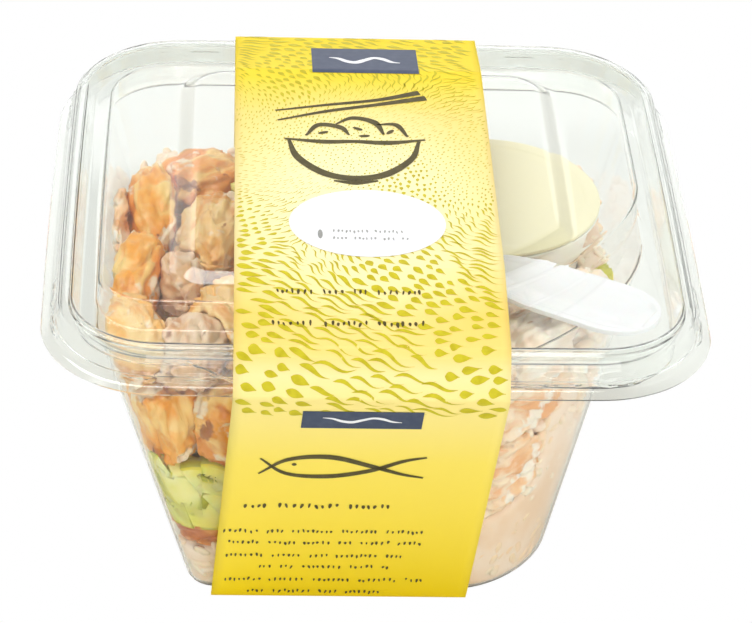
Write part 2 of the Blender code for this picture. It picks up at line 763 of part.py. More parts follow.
def add_food(group, cutters, taken):
    """Salmon, greens and rice. Each piece gives way to those placed before it and to the tub."""
    cavity = add_cavity(cutters)
    pieces = []
    listed = [(row, "pale_salmon" if row[0] in PALE else "salmon") for row in SALMON]
    listed = [(row, "green") for row in GREENS] + listed
    for index, ((name, centre, half, heading, tilt), finish) in enumerate(listed):
        seed = FLAKE_SEED_START + FLAKE_SEED_STEP * index
        piece = blob(name, half, group, finish, seed)
        room = blob(f"room_for_{name}", half, cutters, None, seed, ROOM_GAP)
        place(piece, centre, heading, tilt)
        place(room, centre, heading, tilt)
        cut(piece, cavity, "INTERSECT")
        for other in taken:
            if boxes_meet(piece, other):
                cut(piece, other)
        taken.append(room)
        pieces.append(piece)
    greens = green_heap("greens", group, "green", 0.0)
    room = green_heap("room_for_greens", cutters, None, ROOM_GAP)
    cut(greens, cavity, "INTERSECT")
    rice = add_rice(group)
    for other in taken:
        if boxes_meet(greens, other):
            cut(greens, other)
        if boxes_meet(rice, other):
            cut(rice, other)
    cut(rice, room)
    for piece in pieces + [greens, rice]:
        keep_largest(piece)


def build():
    """Make the whole pack."""
    clear_scene()
    pack = collection(PACK_NAME)
    cutters = collection(f"{PACK_NAME}_cutters")
    add_tub(pack)
    add_lid(pack)
    add_band(pack)
    add_spoon(pack)
    pot_room = add_pot(pack, cutters)
    add_food(pack, cutters, [pot_room])


build()
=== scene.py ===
import math
from contextlib import contextmanager

import bmesh
import bpy
import numpy as np
from mathutils import Matrix, Vector, noise


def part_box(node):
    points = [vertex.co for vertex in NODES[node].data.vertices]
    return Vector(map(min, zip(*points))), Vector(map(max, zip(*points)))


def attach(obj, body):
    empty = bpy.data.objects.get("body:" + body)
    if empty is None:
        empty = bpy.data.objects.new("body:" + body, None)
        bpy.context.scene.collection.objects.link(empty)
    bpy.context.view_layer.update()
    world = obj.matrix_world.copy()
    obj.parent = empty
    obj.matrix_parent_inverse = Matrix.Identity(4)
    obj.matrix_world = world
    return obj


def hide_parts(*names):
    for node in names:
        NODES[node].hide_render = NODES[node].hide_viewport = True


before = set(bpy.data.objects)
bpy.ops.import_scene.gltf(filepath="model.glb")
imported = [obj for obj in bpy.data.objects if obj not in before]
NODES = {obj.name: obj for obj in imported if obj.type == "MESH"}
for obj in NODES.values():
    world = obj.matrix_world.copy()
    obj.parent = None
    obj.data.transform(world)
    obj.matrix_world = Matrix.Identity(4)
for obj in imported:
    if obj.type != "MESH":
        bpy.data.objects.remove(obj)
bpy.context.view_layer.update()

MM = 0.001

# Heights named LOW or Z are in millimetres from the rim's shoulder, and all plan sizes are in millimetres
LID_TOP_Z = 7.5
RIM_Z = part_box("lid")[1].z / MM - LID_TOP_Z

# Sheets, and the gap between pieces
LID_SHEET = 0.45
TUB_SHEET = 0.5
CARD_SHEET = 0.35
GAP = 0.3

# Shoulder's outline
RIM_HALF = 70.0
RIM_CORNER = 22.0
REAR_CORNER_MORE = 3.5
SIDE_BOW = 0.8
CORNER_STEPS = 24
SIDE_STEPS = 72

# Tub
TUB_DEPTH = 80.2
MOUTH_INSET = (8.4, 7.7, 7.3, 7.3)
MOUTH_LOW = -3.33
MOUTH_CORNER = 14.7
MOUTH_CUT = 56.5
BASE_INSET = (29.5, 27.6, 26.2, 26.8)
BASE_CORNER = 5.5
BASE_CUT = 20.0
BASE_EDGE = 1.6
BASE_FLAT_INSET = 6.0
SHELF_LOW = -8.2
SHELF_START = 3.0
SHELF_FULL = 8.0

# Rim sections from the outer edge inwards: inset, height, and how far the bend there is rounded
LID_RIM = (
    (-3.4, -5.75, 0), (-1.2, -4.75, 0.7), (0, 0, 0.45), (0.55, 1.75, 0.8),
    (2.03, 3.18, 0.7), (3.4, 3.2, 0.7), (5.0, -2.03, 0.8),
)
TUB_RIM = ((0.38, -3.6, 0), (1.21, -0.3, 0.4), (1.6, 0.7, 0.5), (2.6, 1.45, 0.5), (4.05, -3.3, 0.6))
# How far the bends inside those sections are rounded, from the rim inwards
LID_BENDS = (1.1, 0.45, 0.45, 1.2, 1.1, 0)
TUB_BENDS = (0.6, 1.2, 1.4, 1.2, 0)
# How many points of the lid's section are the skirt's, and how far apart the rows of each sheet are
SKIRT_POINTS = 4
SKIRT_ROW = 0.4
LID_ROW = 1.2
TUB_ROW = 2.5

# Lid's dome and raised top
LAND_Z = -2.03
DOME_Z = 4.79
DOME_INSET = (9.0, 9.0, 16.25, 16.1)
DOME_CORNER = 11.5
DOME_CUT = 54.0
DOME_CUT_POWER = 1.227
DOME_DRAFT = 0.25
DOME_EDGE = 0.8
TOP_INSET = (25.3, 25.3, 22.65, 21.3)
TOP_SLOPE = 3.88
TOP_FLAT_INSET = 3.0
TOP_CORNER = 6.5
TOP_CUT_GAP = 5.0

# Snap dimples on the lid's skirt: middles along each side and half lengths, then height, depth and soft edge
SNAPS = ((-51.0, 3.8), (-39.0, 4.4), (39.0, 4.4), (51.0, 3.8))
SNAP_LOW = -2.6
SNAP_HALF_HEIGHT = 1.35
SNAP_DEPTH = 0.6
SNAP_EDGE = 0.6
SNAP_EDGE_OUT = 0.25
SKIRT_SPAN = (-4.6, -0.4)
SKIRT_INSET = 1.5
# How much of a side's direction points one way where the side counts as straight
STRAIGHT = 0.97

# Card band
BAND_WIDTH = 58.7
BAND_MIDDLE = -1.95
BAND_SHIFT = -4.1
BAND_SHIFT_LOW = 6
BAND_FOLD_Y = 45.0
BAND_BEND = 1.2
BAND_BEND_STEPS = 8
BAND_COLUMNS = 25
BAND_ROW = 2.0
UNDER_ROWS = 40
# Corners of the rim that the band goes round: point of the lid's section, and how far out and up from it
BAND_CORNERS = ((0, 0.45, 0.0), (3, 0.5, 0.25), (4, 0.35, 0.5))

# Spoon
SPOON_TIP = (61.3, -46.0)
SPOON_HEADING = math.radians(149.0)
SPOON_LENGTH = 96.0
SPOON_BOWL_LENGTH = 46.0
SPOON_BOWL_WIDTH = 19.6
SPOON_HANDLE_WIDTH = 9.0
SPOON_DEPTH = 2.4
SPOON_SHEET = 1.1
SPOON_Z = -3.3
SPOON_ROUND_END = 0.62
SPOON_ROUND_POWER = 2.3
SPOON_NECK_START = 0.52
SPOON_NECK_LENGTH = 0.72
SPOON_EDGE = 1.6
SPOON_STEP = 0.55
SPOON_STEP_WIDTH = 0.9
SPOON_DISH_WIDTH = 9.0
# Where along the bowl the dish ends, and over how much of its length it fades
SPOON_DISH_END = 1.25
SPOON_DISH_FADE = 0.7
SPOON_RIB = 0.35
SPOON_RIB_SHARE = 0.55
SPOON_BEVEL = 0.25

# Dip pot, with the radius that stands for its axis and how far the dressing lies under its lip
POT_AT = (28.0, 13.0)
POT_TOP_Z = -7.0
POT_HEIGHT = 28.0
POT_RADIUS = 25.0
POT_BASE_RADIUS = 19.5
POT_LIP = 1.2
POT_LIP_LOW = -1.0
POT_SHEET = 0.6
POT_AXIS = 0.01
DRESSING_LOW = 2.0

# Food's room from the tub's wall, and how finely the wall's inner side is measured
FOOD_ROOM = 0.85
WALL_TURNS = 721
WALL_LEVELS = 41

# How much of the clear plastic is clear, and not milky
CLEARNESS = 0.985
CLEAR_SHADE = (0.985, 0.99, 0.985)

# Camera, placed from the shoulder's middle
CAMERA_AT = (-34.519, -653.457, 391.639)
CAMERA_YAW = 0.0562277
CAMERA_PITCH = -0.5738737
CAMERA_ROLL = 0.0441281
CAMERA_LENS = 159.45


def srgb(red, green, blue):
    """Linear colour of a colour seen as 0 to 255 numbers."""
    def one(value):
        value /= 255
        return value / 12.92 if value <= 0.04045 else ((value + 0.055) / 1.055) ** 2.4
    return one(red), one(green), one(blue)


def smooth_step(value):
    """0 to 1 with flat ends, for a number or an array."""
    value = np.clip(value, 0, 1)
    return value * value * (3 - 2 * value)


# Meshes

def link(name, data):
    """Object for a mesh, a light or a camera, in the scene."""
    made = bpy.data.objects.new(name, data)
    bpy.context.scene.collection.objects.link(made)
    return made


def mesh_of(name, points, faces, materials=(), smooth=True):
    """Object from points in millimetres and faces, with its materials."""
    mesh = bpy.data.meshes.new(name)
    mesh.from_pydata((np.asarray(points) * MM).tolist(), [], faces)
    for material in materials:
        mesh.materials.append(material)
    if smooth:
        mesh.shade_smooth()
    return link(name, mesh)


def applied(thing):
    """Give a thing the mesh that its modifiers make of it."""
    evaluated = thing.evaluated_get(bpy.context.evaluated_depsgraph_get())
    mesh = bpy.data.meshes.new_from_object(evaluated)
    thing.modifiers.clear()
    thing.data = mesh
    return thing


@contextmanager
def opened(mesh):
    """A mesh opened for editing, and written back at the end."""
    built = bmesh.new()
    built.from_mesh(mesh)
    yield built
    built.to_mesh(mesh)
    built.free()


def thicken(thing, thickness, offset=-1, even=True):
    """Give an open sheet its thickness, inwards or, with an offset of 1, outwards."""
    sheet = thing.modifiers.new("sheet", "SOLIDIFY")
    sheet.thickness = thickness * MM
    sheet.offset = offset
    sheet.use_even_offset = even


def keep(piece, nodes):
    """Let a piece ride with the pack in place of its solids."""
    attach(piece, "root")
    if nodes:
        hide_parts(*nodes)
    return piece


# Outlines and lofts

def sides(inset):
    """x and y of the left, right, front and back side, from one inset or four."""
    left, right, front, back = inset if isinstance(inset, tuple) else (inset,) * 4
    return -RIM_HALF + left, RIM_HALF - right, -RIM_HALF + front, RIM_HALF - back


def further_in(inset, extra):
    """Insets of the four sides, all moved in by extra."""
    return tuple(side + extra for side in inset)


def quarter(radius, start, power):
    """Quarter curve about the origin, from an angle in quarter turns on."""
    angles = math.pi / 2 * (start + np.linspace(0, 1, CORNER_STEPS + 1))
    c, s = np.cos(angles), np.sin(angles)
    return radius * np.stack([np.copysign(np.abs(c) ** power, c), np.copysign(np.abs(s) ** power, s)], 1)


def outline(inset, corner, cut=None, clip_inset=None):
    """Loop round the pack, anticlockwise from the front right corner, as the solids have it."""
    x0, x1, y0, y1 = sides(inset)
    big = cut or corner
    rear = corner + REAR_CORNER_MORE
    power = DOME_CUT_POWER if cut else 1
    cut_x1, cut_y0 = sides(clip_inset)[1:3] if clip_inset else (x1, y0)
    front_right = quarter(big, -1, power) + (cut_x1 - big, cut_y0 + big)
    if clip_inset:
        front_right = np.stack([np.minimum(front_right[:, 0], x1), np.maximum(front_right[:, 1], y0)], 1)
    corners = [front_right]
    for start, x, y, radius in ((0, x1, y1, rear), (1, x0, y1, rear), (2, x0, y0, corner)):
        middle = x - math.copysign(radius, x), y - math.copysign(radius, y)
        corners.append(quarter(radius, start, 1) + middle)
    loop = []
    for index, points in enumerate(corners):
        ahead = corners[(index + 1) % 4][0]
        share = np.linspace(0, 1, SIDE_STEPS + 2)[1:-1, None]
        loop += [points, points[-1] + (ahead - points[-1]) * share]
    loop = np.concatenate(loop)
    pull = 1 - SIDE_BOW / RIM_HALF * (loop[:, ::-1] / RIM_HALF) ** 2
    return loop * pull


def ring(loop, low):
    """Loop of points at a height from the shoulder, or at one height for each point."""
    return np.column_stack([loop, np.broadcast_to(RIM_Z + low, len(loop))])


def bend_between(start, corner, end, steps):
    """Points of a short curve that cuts a corner."""
    return [start * (1 - t) ** 2 + corner * 2 * t * (1 - t) + end * t ** 2
            for t in np.linspace(0, 1, steps + 1)]


# Most of the way to the next ring that a bend may take up
BEND_MOST = 0.48


def soften(rings, bends, steps=5):
    """Rings with a short curve in place of each bend, reaching that far along both sides of it."""
    made = [rings[0]]
    for before, here, after, bend in zip(rings, rings[1:], rings[2:], bends[1:]):
        back, ahead = before - here, after - here
        longest_back = np.linalg.norm(back, axis=1, keepdims=True) + 1e-6
        longest_ahead = np.linalg.norm(ahead, axis=1, keepdims=True) + 1e-6
        start = here + back * np.minimum(bend / longest_back, BEND_MOST)
        end = here + ahead * np.minimum(bend / longest_ahead, BEND_MOST)
        made += bend_between(start, here, end, steps)
    made.append(rings[-1])
    return made


def subdivide(rings, longest):
    """Rings with more between any two that are far apart."""
    made = [rings[0]]
    for before, after in zip(rings, rings[1:]):
        count = max(1, math.ceil(np.median(np.linalg.norm(after - before, axis=1)) / longest))
        for step in range(1, count + 1):
            made.append(before + (after - before) * step / count)
    return made


def loft_faces(rows, count, closed=True):
    """Faces between rows of equal length."""
    faces = []
    around = count if closed else count - 1
    for row in range(rows - 1):
        base = row * count
        for index in range(around):
            after = (index + 1) % count
            faces.append((base + index, base + after, base + count + after, base + count + index))
    return faces


# Rings of a shell's flat end, as shares of the last ring's size
END_RINGS = (0.97, 0.8, 0.6, 0.4, 0.2)
SHELL_SHARP = math.radians(50)


def shell(name, rings, thickness, flat_up, plastic):
    """Sheet lofted through rings and closed by a flat end, which looks up or down, made thick inwards."""
    count = len(rings[0])
    middle = rings[-1].mean(0)
    rings = list(rings) + [middle + (rings[-1] - middle) * share for share in END_RINGS]
    points = np.concatenate(rings)
    faces = loft_faces(len(rings), count)
    faces.append(tuple(range(len(points) - count, len(points))))
    made = mesh_of(name, points, faces, [plastic])
    with opened(made.data) as built:
        bmesh.ops.recalc_face_normals(built, faces=built.faces)
        built.normal_update()
        end = max(built.faces, key=lambda face: len(face.verts))
        if (end.normal.z > 0) != flat_up:
            bmesh.ops.reverse_faces(built, faces=built.faces)
    made.data.shade_smooth()
    thicken(made, thickness)
    applied(made).data.set_sharp_from_angle(angle=SHELL_SHARP)
    return made


# Nodes

def feed(tree, socket, value):
    """Link an output to a node's input, or give the input a plain number or colour."""
    if isinstance(value, bpy.types.NodeSocket):
        tree.links.new(value, socket)
    else:
        socket.default_value = (*value, 1) if socket.type == "RGBA" else value


def add_node(tree, kind, feeds=None, **settings):
    """Node with its settings, and with what goes into its inputs."""
    node = tree.nodes.new("ShaderNode" + kind)
    for label, value in settings.items():
        setattr(node, label, value)
    for label, value in (feeds or {}).items():
        feed(tree, node.inputs[label], value)
    return node


def math_of(tree, how, *values):
    """Output of one sum on numbers or outputs."""
    return add_node(tree, "Math", dict(enumerate(values)), operation=how).outputs[0]


def eased(tree, value, start, end, low=0.0, high=1.0):
    """Output that eases from the low to the high number while the value goes from start to end."""
    feeds = {"Value": value, "From Min": start, "From Max": end, "To Min": low, "To Max": high}
    return add_node(tree, "MapRange", feeds, interpolation_type="SMOOTHSTEP").outputs["Result"]


# Shared effects of the materials

def effect_group(name, **inputs):
    """Node group with named numbers in and a mask out, and the sockets that give those numbers."""
    group = bpy.data.node_groups.new(name, "ShaderNodeTree")
    for label, value in inputs.items():
        made = group.interface.new_socket(name=label, in_out="INPUT", socket_type="NodeSocketFloat")
        made.default_value = value
    group.interface.new_socket(name="Mask", in_out="OUTPUT", socket_type="NodeSocketFloat")
    return group, group.nodes.new("NodeGroupInput").outputs


def with_mask(group, mask):
    """The group, once its mask is put out."""
    feed(group, group.nodes.new("NodeGroupOutput").inputs["Mask"], mask)
    return group


def noise_mask(group, given, place, **plain):
    """Mask from noise at a place, cut between the two levels given."""
    feeds = {"Vector": place, "Scale": given["Scale"], "W": given["Seed"], **plain}
    cloud = add_node(group, "TexNoise", feeds, noise_dimensions="4D")
    return eased(group, cloud.outputs["Fac"], given["Low"], given["High"])


def mottle_group():
    """Soft patches."""
    group, given = effect_group("mottle", Scale=200.0, Detail=3.0, Low=0.4, High=0.6, Seed=0.0)
    place = add_node(group, "TexCoord").outputs["Object"]
    return with_mask(group, noise_mask(group, given, place, Detail=given["Detail"]))


def fibre_group():
    """Uneven streaks along a piece's long way, as in cooked flesh: noise that is stretched along X."""
    group, given = effect_group("fibre", Scale=200.0, Stretch=0.25, Low=0.5, High=0.7, Seed=0.0)
    place = add_node(group, "TexCoord").outputs["Object"]
    split = add_node(group, "SeparateXYZ", {0: place}).outputs
    longer = math_of(group, "MULTIPLY", split["X"], given["Stretch"])
    stretched = add_node(group, "CombineXYZ", {"X": longer, "Y": split["Y"], "Z": split["Z"]}).outputs[0]
    return with_mask(group, noise_mask(group, given, stretched, Detail=4.0, Distortion=0.6))


def slope_group():
    """Sloping walls of the raised top, where the clear lid gets painted shade: a mask that rises where the
    surface leans, above a height.
    """
    group, given = effect_group("slope", Low=0.97, High=0.88, Height=0.0)
    surface = add_node(group, "NewGeometry").outputs
    facing_up = add_node(group, "SeparateXYZ", {0: surface["Normal"]}).outputs["Z"]
    leaning = eased(group, math_of(group, "ABSOLUTE", facing_up), given["Low"], given["High"])
    height = add_node(group, "SeparateXYZ", {0: surface["Position"]}).outputs["Z"]
    above = math_of(group, "GREATER_THAN", height, given["Height"])
    return with_mask(group, math_of(group, "MULTIPLY", leaning, above))


MOTTLE = mottle_group()
FIBRE = fibre_group()
SLOPE = slope_group()


def shader_of(material):
    """The material's Principled shader."""
    return material.node_tree.nodes["Principled BSDF"]


def finish(name, colour, roughness, **plain):
    """Material with a Principled shader and its plain values."""
    made = bpy.data.materials.new(name)
    made.use_nodes = True
    shader = shader_of(made)
    shader.inputs["Base Color"].default_value = (*colour, 1)
    shader.inputs["Roughness"].default_value = roughness
    for label, value in plain.items():
        shader.inputs[label.replace("_", " ")].default_value = value
    return made


def effect(material, group, **values):
    """Mask of a shared effect, placed in a material with its own values."""
    return add_node(material.node_tree, "Group", values, node_tree=group).outputs["Mask"]


def blend(material, mask, first, second, share=1.0):
    """Colour that goes from the first to the second where the mask rises. Either may be a socket."""
    tree = material.node_tree
    if share != 1.0:
        mask = math_of(tree, "MULTIPLY", mask, share)
    node = add_node(tree, "Mix", {"Factor": mask}, data_type="RGBA")
    for label, value in (("A_Color", first), ("B_Color", second)):
        feed(tree, next(one for one in node.inputs if one.identifier == label), value)
    return next(one for one in node.outputs if one.identifier == "Result_Color")


def colour_from(material, value):
    """Feed a colour to the shader."""
    feed(material.node_tree, shader_of(material).inputs["Base Color"], value)


def bump_from(material, height, strength, distance):
    """Feed a height to the shader as a bump of a depth in millimetres."""
    tree = material.node_tree
    node = add_node(tree, "Bump", {"Strength": strength, "Distance": distance * MM, "Height": height})
    feed(tree, shader_of(material).inputs["Normal"], node.outputs["Normal"])


def mix_in(material, share, shader):
    """Mix another shader into the material's own, by a share."""
    tree = material.node_tree
    mix = add_node(tree, "MixShader", {"Fac": share, 1: shader_of(material).outputs["BSDF"], 2: shader})
    feed(tree, tree.nodes["Material Output"].inputs["Surface"], mix.outputs["Shader"])


def clear_plastic(name, tint, painted_slope_shade, roughness, bend, gloss, wave):
    """Clear formed sheet that lets soft light through, bends it little, has slight waves of forming, and has
    painted shade on its sloping walls.
    """
    made = finish(name, tint, roughness, IOR=bend, Transmission_Weight=CLEARNESS, Metallic=0.0,
                  Coat_Weight=gloss, Coat_Roughness=roughness, Coat_IOR=1.5)
    bump_from(made, effect(made, MOTTLE, Scale=55.0, Detail=1.0, Low=0.0, High=1.0), 0.5, wave)
    # Painted shade: the sloping walls of the raised top are coloured darker than the rest of the sheet.
    colour_from(made, blend(made, effect(made, SLOPE, Height=(RIM_Z + DOME_Z) * MM), tint, painted_slope_shade))
    tree = made.node_tree
    path = add_node(tree, "LightPath").outputs
    soft = math_of(tree, "MAXIMUM", path["Is Shadow Ray"], path["Is Diffuse Ray"])
    mix_in(made, soft, add_node(tree, "BsdfTransparent", {"Color": CLEAR_SHADE}).outputs["BSDF"])
    return made


# Clear lid and tub

def rim_rings(section):
    """Rings that follow a rim section."""
    return [ring(outline(inset, RIM_CORNER - inset), low) for inset, low, _ in section]


def mouth_loop(extra=0.0):
    """Outline of the tub's mouth, moved in by extra."""
    return outline(further_in(MOUTH_INSET, extra), MOUTH_CORNER - extra, MOUTH_CUT - extra)


def base_loop(extra=0.0):
    """Outline of the tub's base, moved in by extra."""
    return outline(further_in(BASE_INSET, extra), BASE_CORNER - extra, BASE_CUT - extra)


def dome_loop(extra=0.0):
    """Outline of the lid's dome, moved in by extra."""
    return outline(further_in(DOME_INSET, extra), DOME_CORNER - extra, DOME_CUT - extra)


def top_loop(extra=0.0):
    """Outline of the raised top, moved in by extra, clear of the dome's cut corner."""
    clip = further_in(DOME_INSET, TOP_CUT_GAP + extra)
    return outline(further_in(TOP_INSET, extra), TOP_CORNER - extra / 2, DOME_CUT - TOP_CUT_GAP - extra, clip)


def tub_outer():
    """Outline of the tub just inside its rim."""
    foot = TUB_RIM[-1][0] + GAP
    return outline(foot, RIM_CORNER - foot)


def shelf_lows():
    """Height of the tub's mouth all the way round: lower in the corner where a shelf is."""
    wide = np.linalg.norm(mouth_loop() - tub_outer(), axis=1)
    share = smooth_step((wide - SHELF_START) / (SHELF_FULL - SHELF_START))
    return MOUTH_LOW + (SHELF_LOW - MOUTH_LOW) * share


def wall_reach(room):
    """Distance from the middle to the tub's inner side less some room, by height and by direction."""
    mouth, base, lows = mouth_loop(room), base_loop(room), shelf_lows()
    turns = np.linspace(-math.pi, math.pi, WALL_TURNS)
    table = []
    for low in np.linspace(0, -TUB_DEPTH, WALL_LEVELS):
        share = np.clip((lows - low) / (lows + TUB_DEPTH), 0, 1)[:, None]
        loop = mouth + (base - mouth) * share
        angle = np.arctan2(loop[:, 1], loop[:, 0])
        order = np.argsort(angle)
        table.append(np.interp(turns, angle[order], np.hypot(*loop.T)[order], period=2 * math.pi))
    return np.array(table)


def kept_inside(points, table):
    """Points in metres, moved towards the middle where they would go through the tub's wall or floor."""
    moved = np.array(points)
    angle = np.arctan2(points[:, 1], points[:, 0])
    across = (angle + math.pi) / (2 * math.pi) * (WALL_TURNS - 1)
    down = np.clip((RIM_Z - points[:, 2] / MM) / TUB_DEPTH, 0, 1) * (WALL_LEVELS - 1)
    i, j = np.minimum(down.astype(int), WALL_LEVELS - 2), np.minimum(across.astype(int), WALL_TURNS - 2)
    s, t = down - i, across - j
    reach = (table[i, j] * (1 - s) * (1 - t) + table[i + 1, j] * s * (1 - t)
             + table[i, j + 1] * (1 - s) * t + table[i + 1, j + 1] * s * t) * MM
    radius = np.hypot(points[:, 0], points[:, 1]) + 1e-9
    moved[:, :2] *= np.minimum(1, reach / radius)[:, None]
    moved[:, 2] = np.maximum(moved[:, 2], (RIM_Z - TUB_DEPTH + TUB_SHEET + GAP) * MM)
    return moved


def press_snaps(rings):
    """Raise the snap dimples on the skirt, outwards."""
    out = outline(-1.0, RIM_CORNER + 1.0) - outline(0, RIM_CORNER)
    out /= np.linalg.norm(out, axis=1, keepdims=True)
    front_or_back, left_or_right = np.abs(out[:, 1]) > STRAIGHT, np.abs(out[:, 0]) > STRAIGHT
    pressed = []
    for points in rings:
        low = points[:, 2] - RIM_Z
        along = np.where(front_or_back, points[:, 0], np.where(left_or_right, points[:, 1], math.inf))
        on_skirt = (low < SKIRT_SPAN[1]) & (low > SKIRT_SPAN[0])
        on_skirt &= np.abs(points[:, :2]).max(1) > RIM_HALF - SKIRT_INSET
        rise = np.zeros(len(points))
        for middle, half in SNAPS:
            past_end = np.clip(np.abs(along - middle) - half + SNAP_HALF_HEIGHT, 0, None)
            far = np.hypot(past_end, low - SNAP_LOW)
            rise = np.maximum(rise, smooth_step((SNAP_HALF_HEIGHT + SNAP_EDGE_OUT - far) / SNAP_EDGE))
        moved = points.copy()
        moved[:, :2] += out * (rise * on_skirt * SNAP_DEPTH)[:, None]
        pressed.append(moved)
    return pressed


def add_lid(plastic):
    """Lid: skirt with snap dimples, bead, sunk land, dome and raised top."""
    keys = rim_rings(LID_RIM)
    bends = [bend for _, _, bend in LID_RIM]
    skirt = subdivide(soften(keys[:SKIRT_POINTS], bends[:SKIRT_POINTS]), SKIRT_ROW)[:-1]
    keys = keys[SKIRT_POINTS - 1:] + [
        ring(dome_loop(-DOME_DRAFT), LAND_Z), ring(dome_loop(), DOME_Z - DOME_EDGE),
        ring(dome_loop(DOME_EDGE), DOME_Z), ring(top_loop(), DOME_Z), ring(top_loop(TOP_SLOPE), LID_TOP_Z),
        ring(top_loop(TOP_SLOPE + TOP_FLAT_INSET), LID_TOP_Z)]
    bends = [0, *bends[SKIRT_POINTS:], *LID_BENDS]
    rings = press_snaps(skirt) + subdivide(soften(keys, bends), LID_ROW)
    keep(shell("clear_lid", rings, LID_SHEET, True, plastic), ["lid"])


def add_tub(plastic):
    """Tub with its nested rim, sunk corner shelf, sloping walls and base."""
    outer, mouth, base, lows = tub_outer(), mouth_loop(), base_loop(), shelf_lows()
    share = 1 - BASE_EDGE / TUB_DEPTH
    keys = rim_rings(TUB_RIM) + [
        ring(outer, lows), ring(mouth, lows), ring(mouth + (base - mouth) * share, BASE_EDGE - TUB_DEPTH),
        ring(base_loop(BASE_EDGE), -TUB_DEPTH), ring(base_loop(BASE_EDGE + BASE_FLAT_INSET), -TUB_DEPTH)]
    bends = [bend for _, _, bend in TUB_RIM] + [*TUB_BENDS]
    rings = subdivide(soften(keys, bends), TUB_ROW)
    keep(shell("clear_tub", rings, TUB_SHEET, False, plastic), ["tub"])


# Card band and its print

def rounded_path(points, radius, steps):
    """Closed path of (y, z) points whose corners are short arcs."""
    path = []
    points = [np.array(point, float) for point in points]
    for index, here in enumerate(points):
        back, ahead = points[index - 1] - here, points[(index + 1) % len(points)] - here
        back, ahead = back / np.linalg.norm(back), ahead / np.linalg.norm(ahead)
        half_angle = math.acos(float(np.clip(back @ ahead, -1, 1))) / 2
        reach = min(radius / math.tan(half_angle), radius * 2)
        path += bend_between(here + back * reach, here, here + ahead * reach, steps)
    return path


def band_path():
    """Middle line of the band's inner side: from the back of the base, under it, up the front and over."""
    fronts = [(BAND_FOLD_Y, -TUB_DEPTH - GAP)]
    for index, out, up in BAND_CORNERS:
        inset, low, _ = LID_RIM[index]
        fronts.append((RIM_HALF + out - inset, low + up))
    top = sides(further_in(TOP_INSET, TOP_SLOPE))
    points = [(-y, z) for y, z in fronts]
    points += [(top[2], LID_TOP_Z + GAP), (top[3], LID_TOP_Z + GAP)]
    points += [(y, z) for y, z in reversed(fronts)]
    return np.array(rounded_path(points, BAND_BEND, BAND_BEND_STEPS))


BAND_PATH = band_path()
BAND_STEPS = np.roll(BAND_PATH, -1, axis=0) - BAND_PATH
BAND_AHEAD = BAND_STEPS / (np.linalg.norm(BAND_STEPS, axis=1, keepdims=True) + 1e-9)


def band_normal(index):
    """Outward direction of the band at a point of its path."""
    ahead = BAND_AHEAD[index] + BAND_AHEAD[index - 1]
    ahead /= np.linalg.norm(ahead)
    return np.array([-ahead[1], ahead[0]])


BAND_OUT = np.array([band_normal(index) for index in range(len(BAND_PATH))])
BAND_RUN = np.concatenate([[0], np.cumsum(np.linalg.norm(np.diff(BAND_PATH, axis=0), axis=1))])
LOWEST_SIDE = -TUB_DEPTH + BASE_EDGE


def band_shift(y, low):
    """Sideways shift of the band, which runs slightly askew down the front and under the base."""
    fall = np.clip((-low - BAND_SHIFT_LOW) / (TUB_DEPTH - BAND_SHIFT_LOW), 0, 1)
    under = BAND_SHIFT * (0.5 - y / (2 * BAND_FOLD_Y))
    return np.where(low < LOWEST_SIDE, under, np.where(y < 0, BAND_SHIFT * fall, 0.0))


def band_point(run, across, lift):
    """Place on the band: how far along its path, across from its middle, and off its inner side."""
    y = np.interp(run, BAND_RUN, BAND_PATH[:, 0])
    low = np.interp(run, BAND_RUN, BAND_PATH[:, 1])
    out_y = np.interp(run, BAND_RUN, BAND_OUT[:, 0])
    out_z = np.interp(run, BAND_RUN, BAND_OUT[:, 1])
    x = BAND_MIDDLE + band_shift(y, low) + across
    return np.stack(np.broadcast_arrays(x, y + out_y * lift, RIM_Z + low + out_z * lift), -1)


# Stretches of the path that count as over the lid and as up the front, from the lid's outer edge
OVER_FROM = LID_RIM[0][1] + 3
FRONT_UP_TO = LID_RIM[0][1] + 0.5
FRONT_BEFORE = -RIM_HALF * 0.6


def run_over(y):
    """How far along the band's path the place over the lid with this y is."""
    last_bend = len(BAND_PATH) - (BAND_BEND_STEPS + 1)
    over = (BAND_PATH[:, 1] > OVER_FROM) & (np.arange(len(BAND_PATH)) < last_bend)
    return np.interp(y, BAND_PATH[over, 0], BAND_RUN[over])


def run_front(low):
    """How far up the band's front the place at this height is."""
    front = (BAND_PATH[:, 0] < FRONT_BEFORE) & (BAND_PATH[:, 1] < FRONT_UP_TO)
    return np.interp(low, BAND_PATH[front, 1], BAND_RUN[front])


BAND_SHARP = math.radians(60)


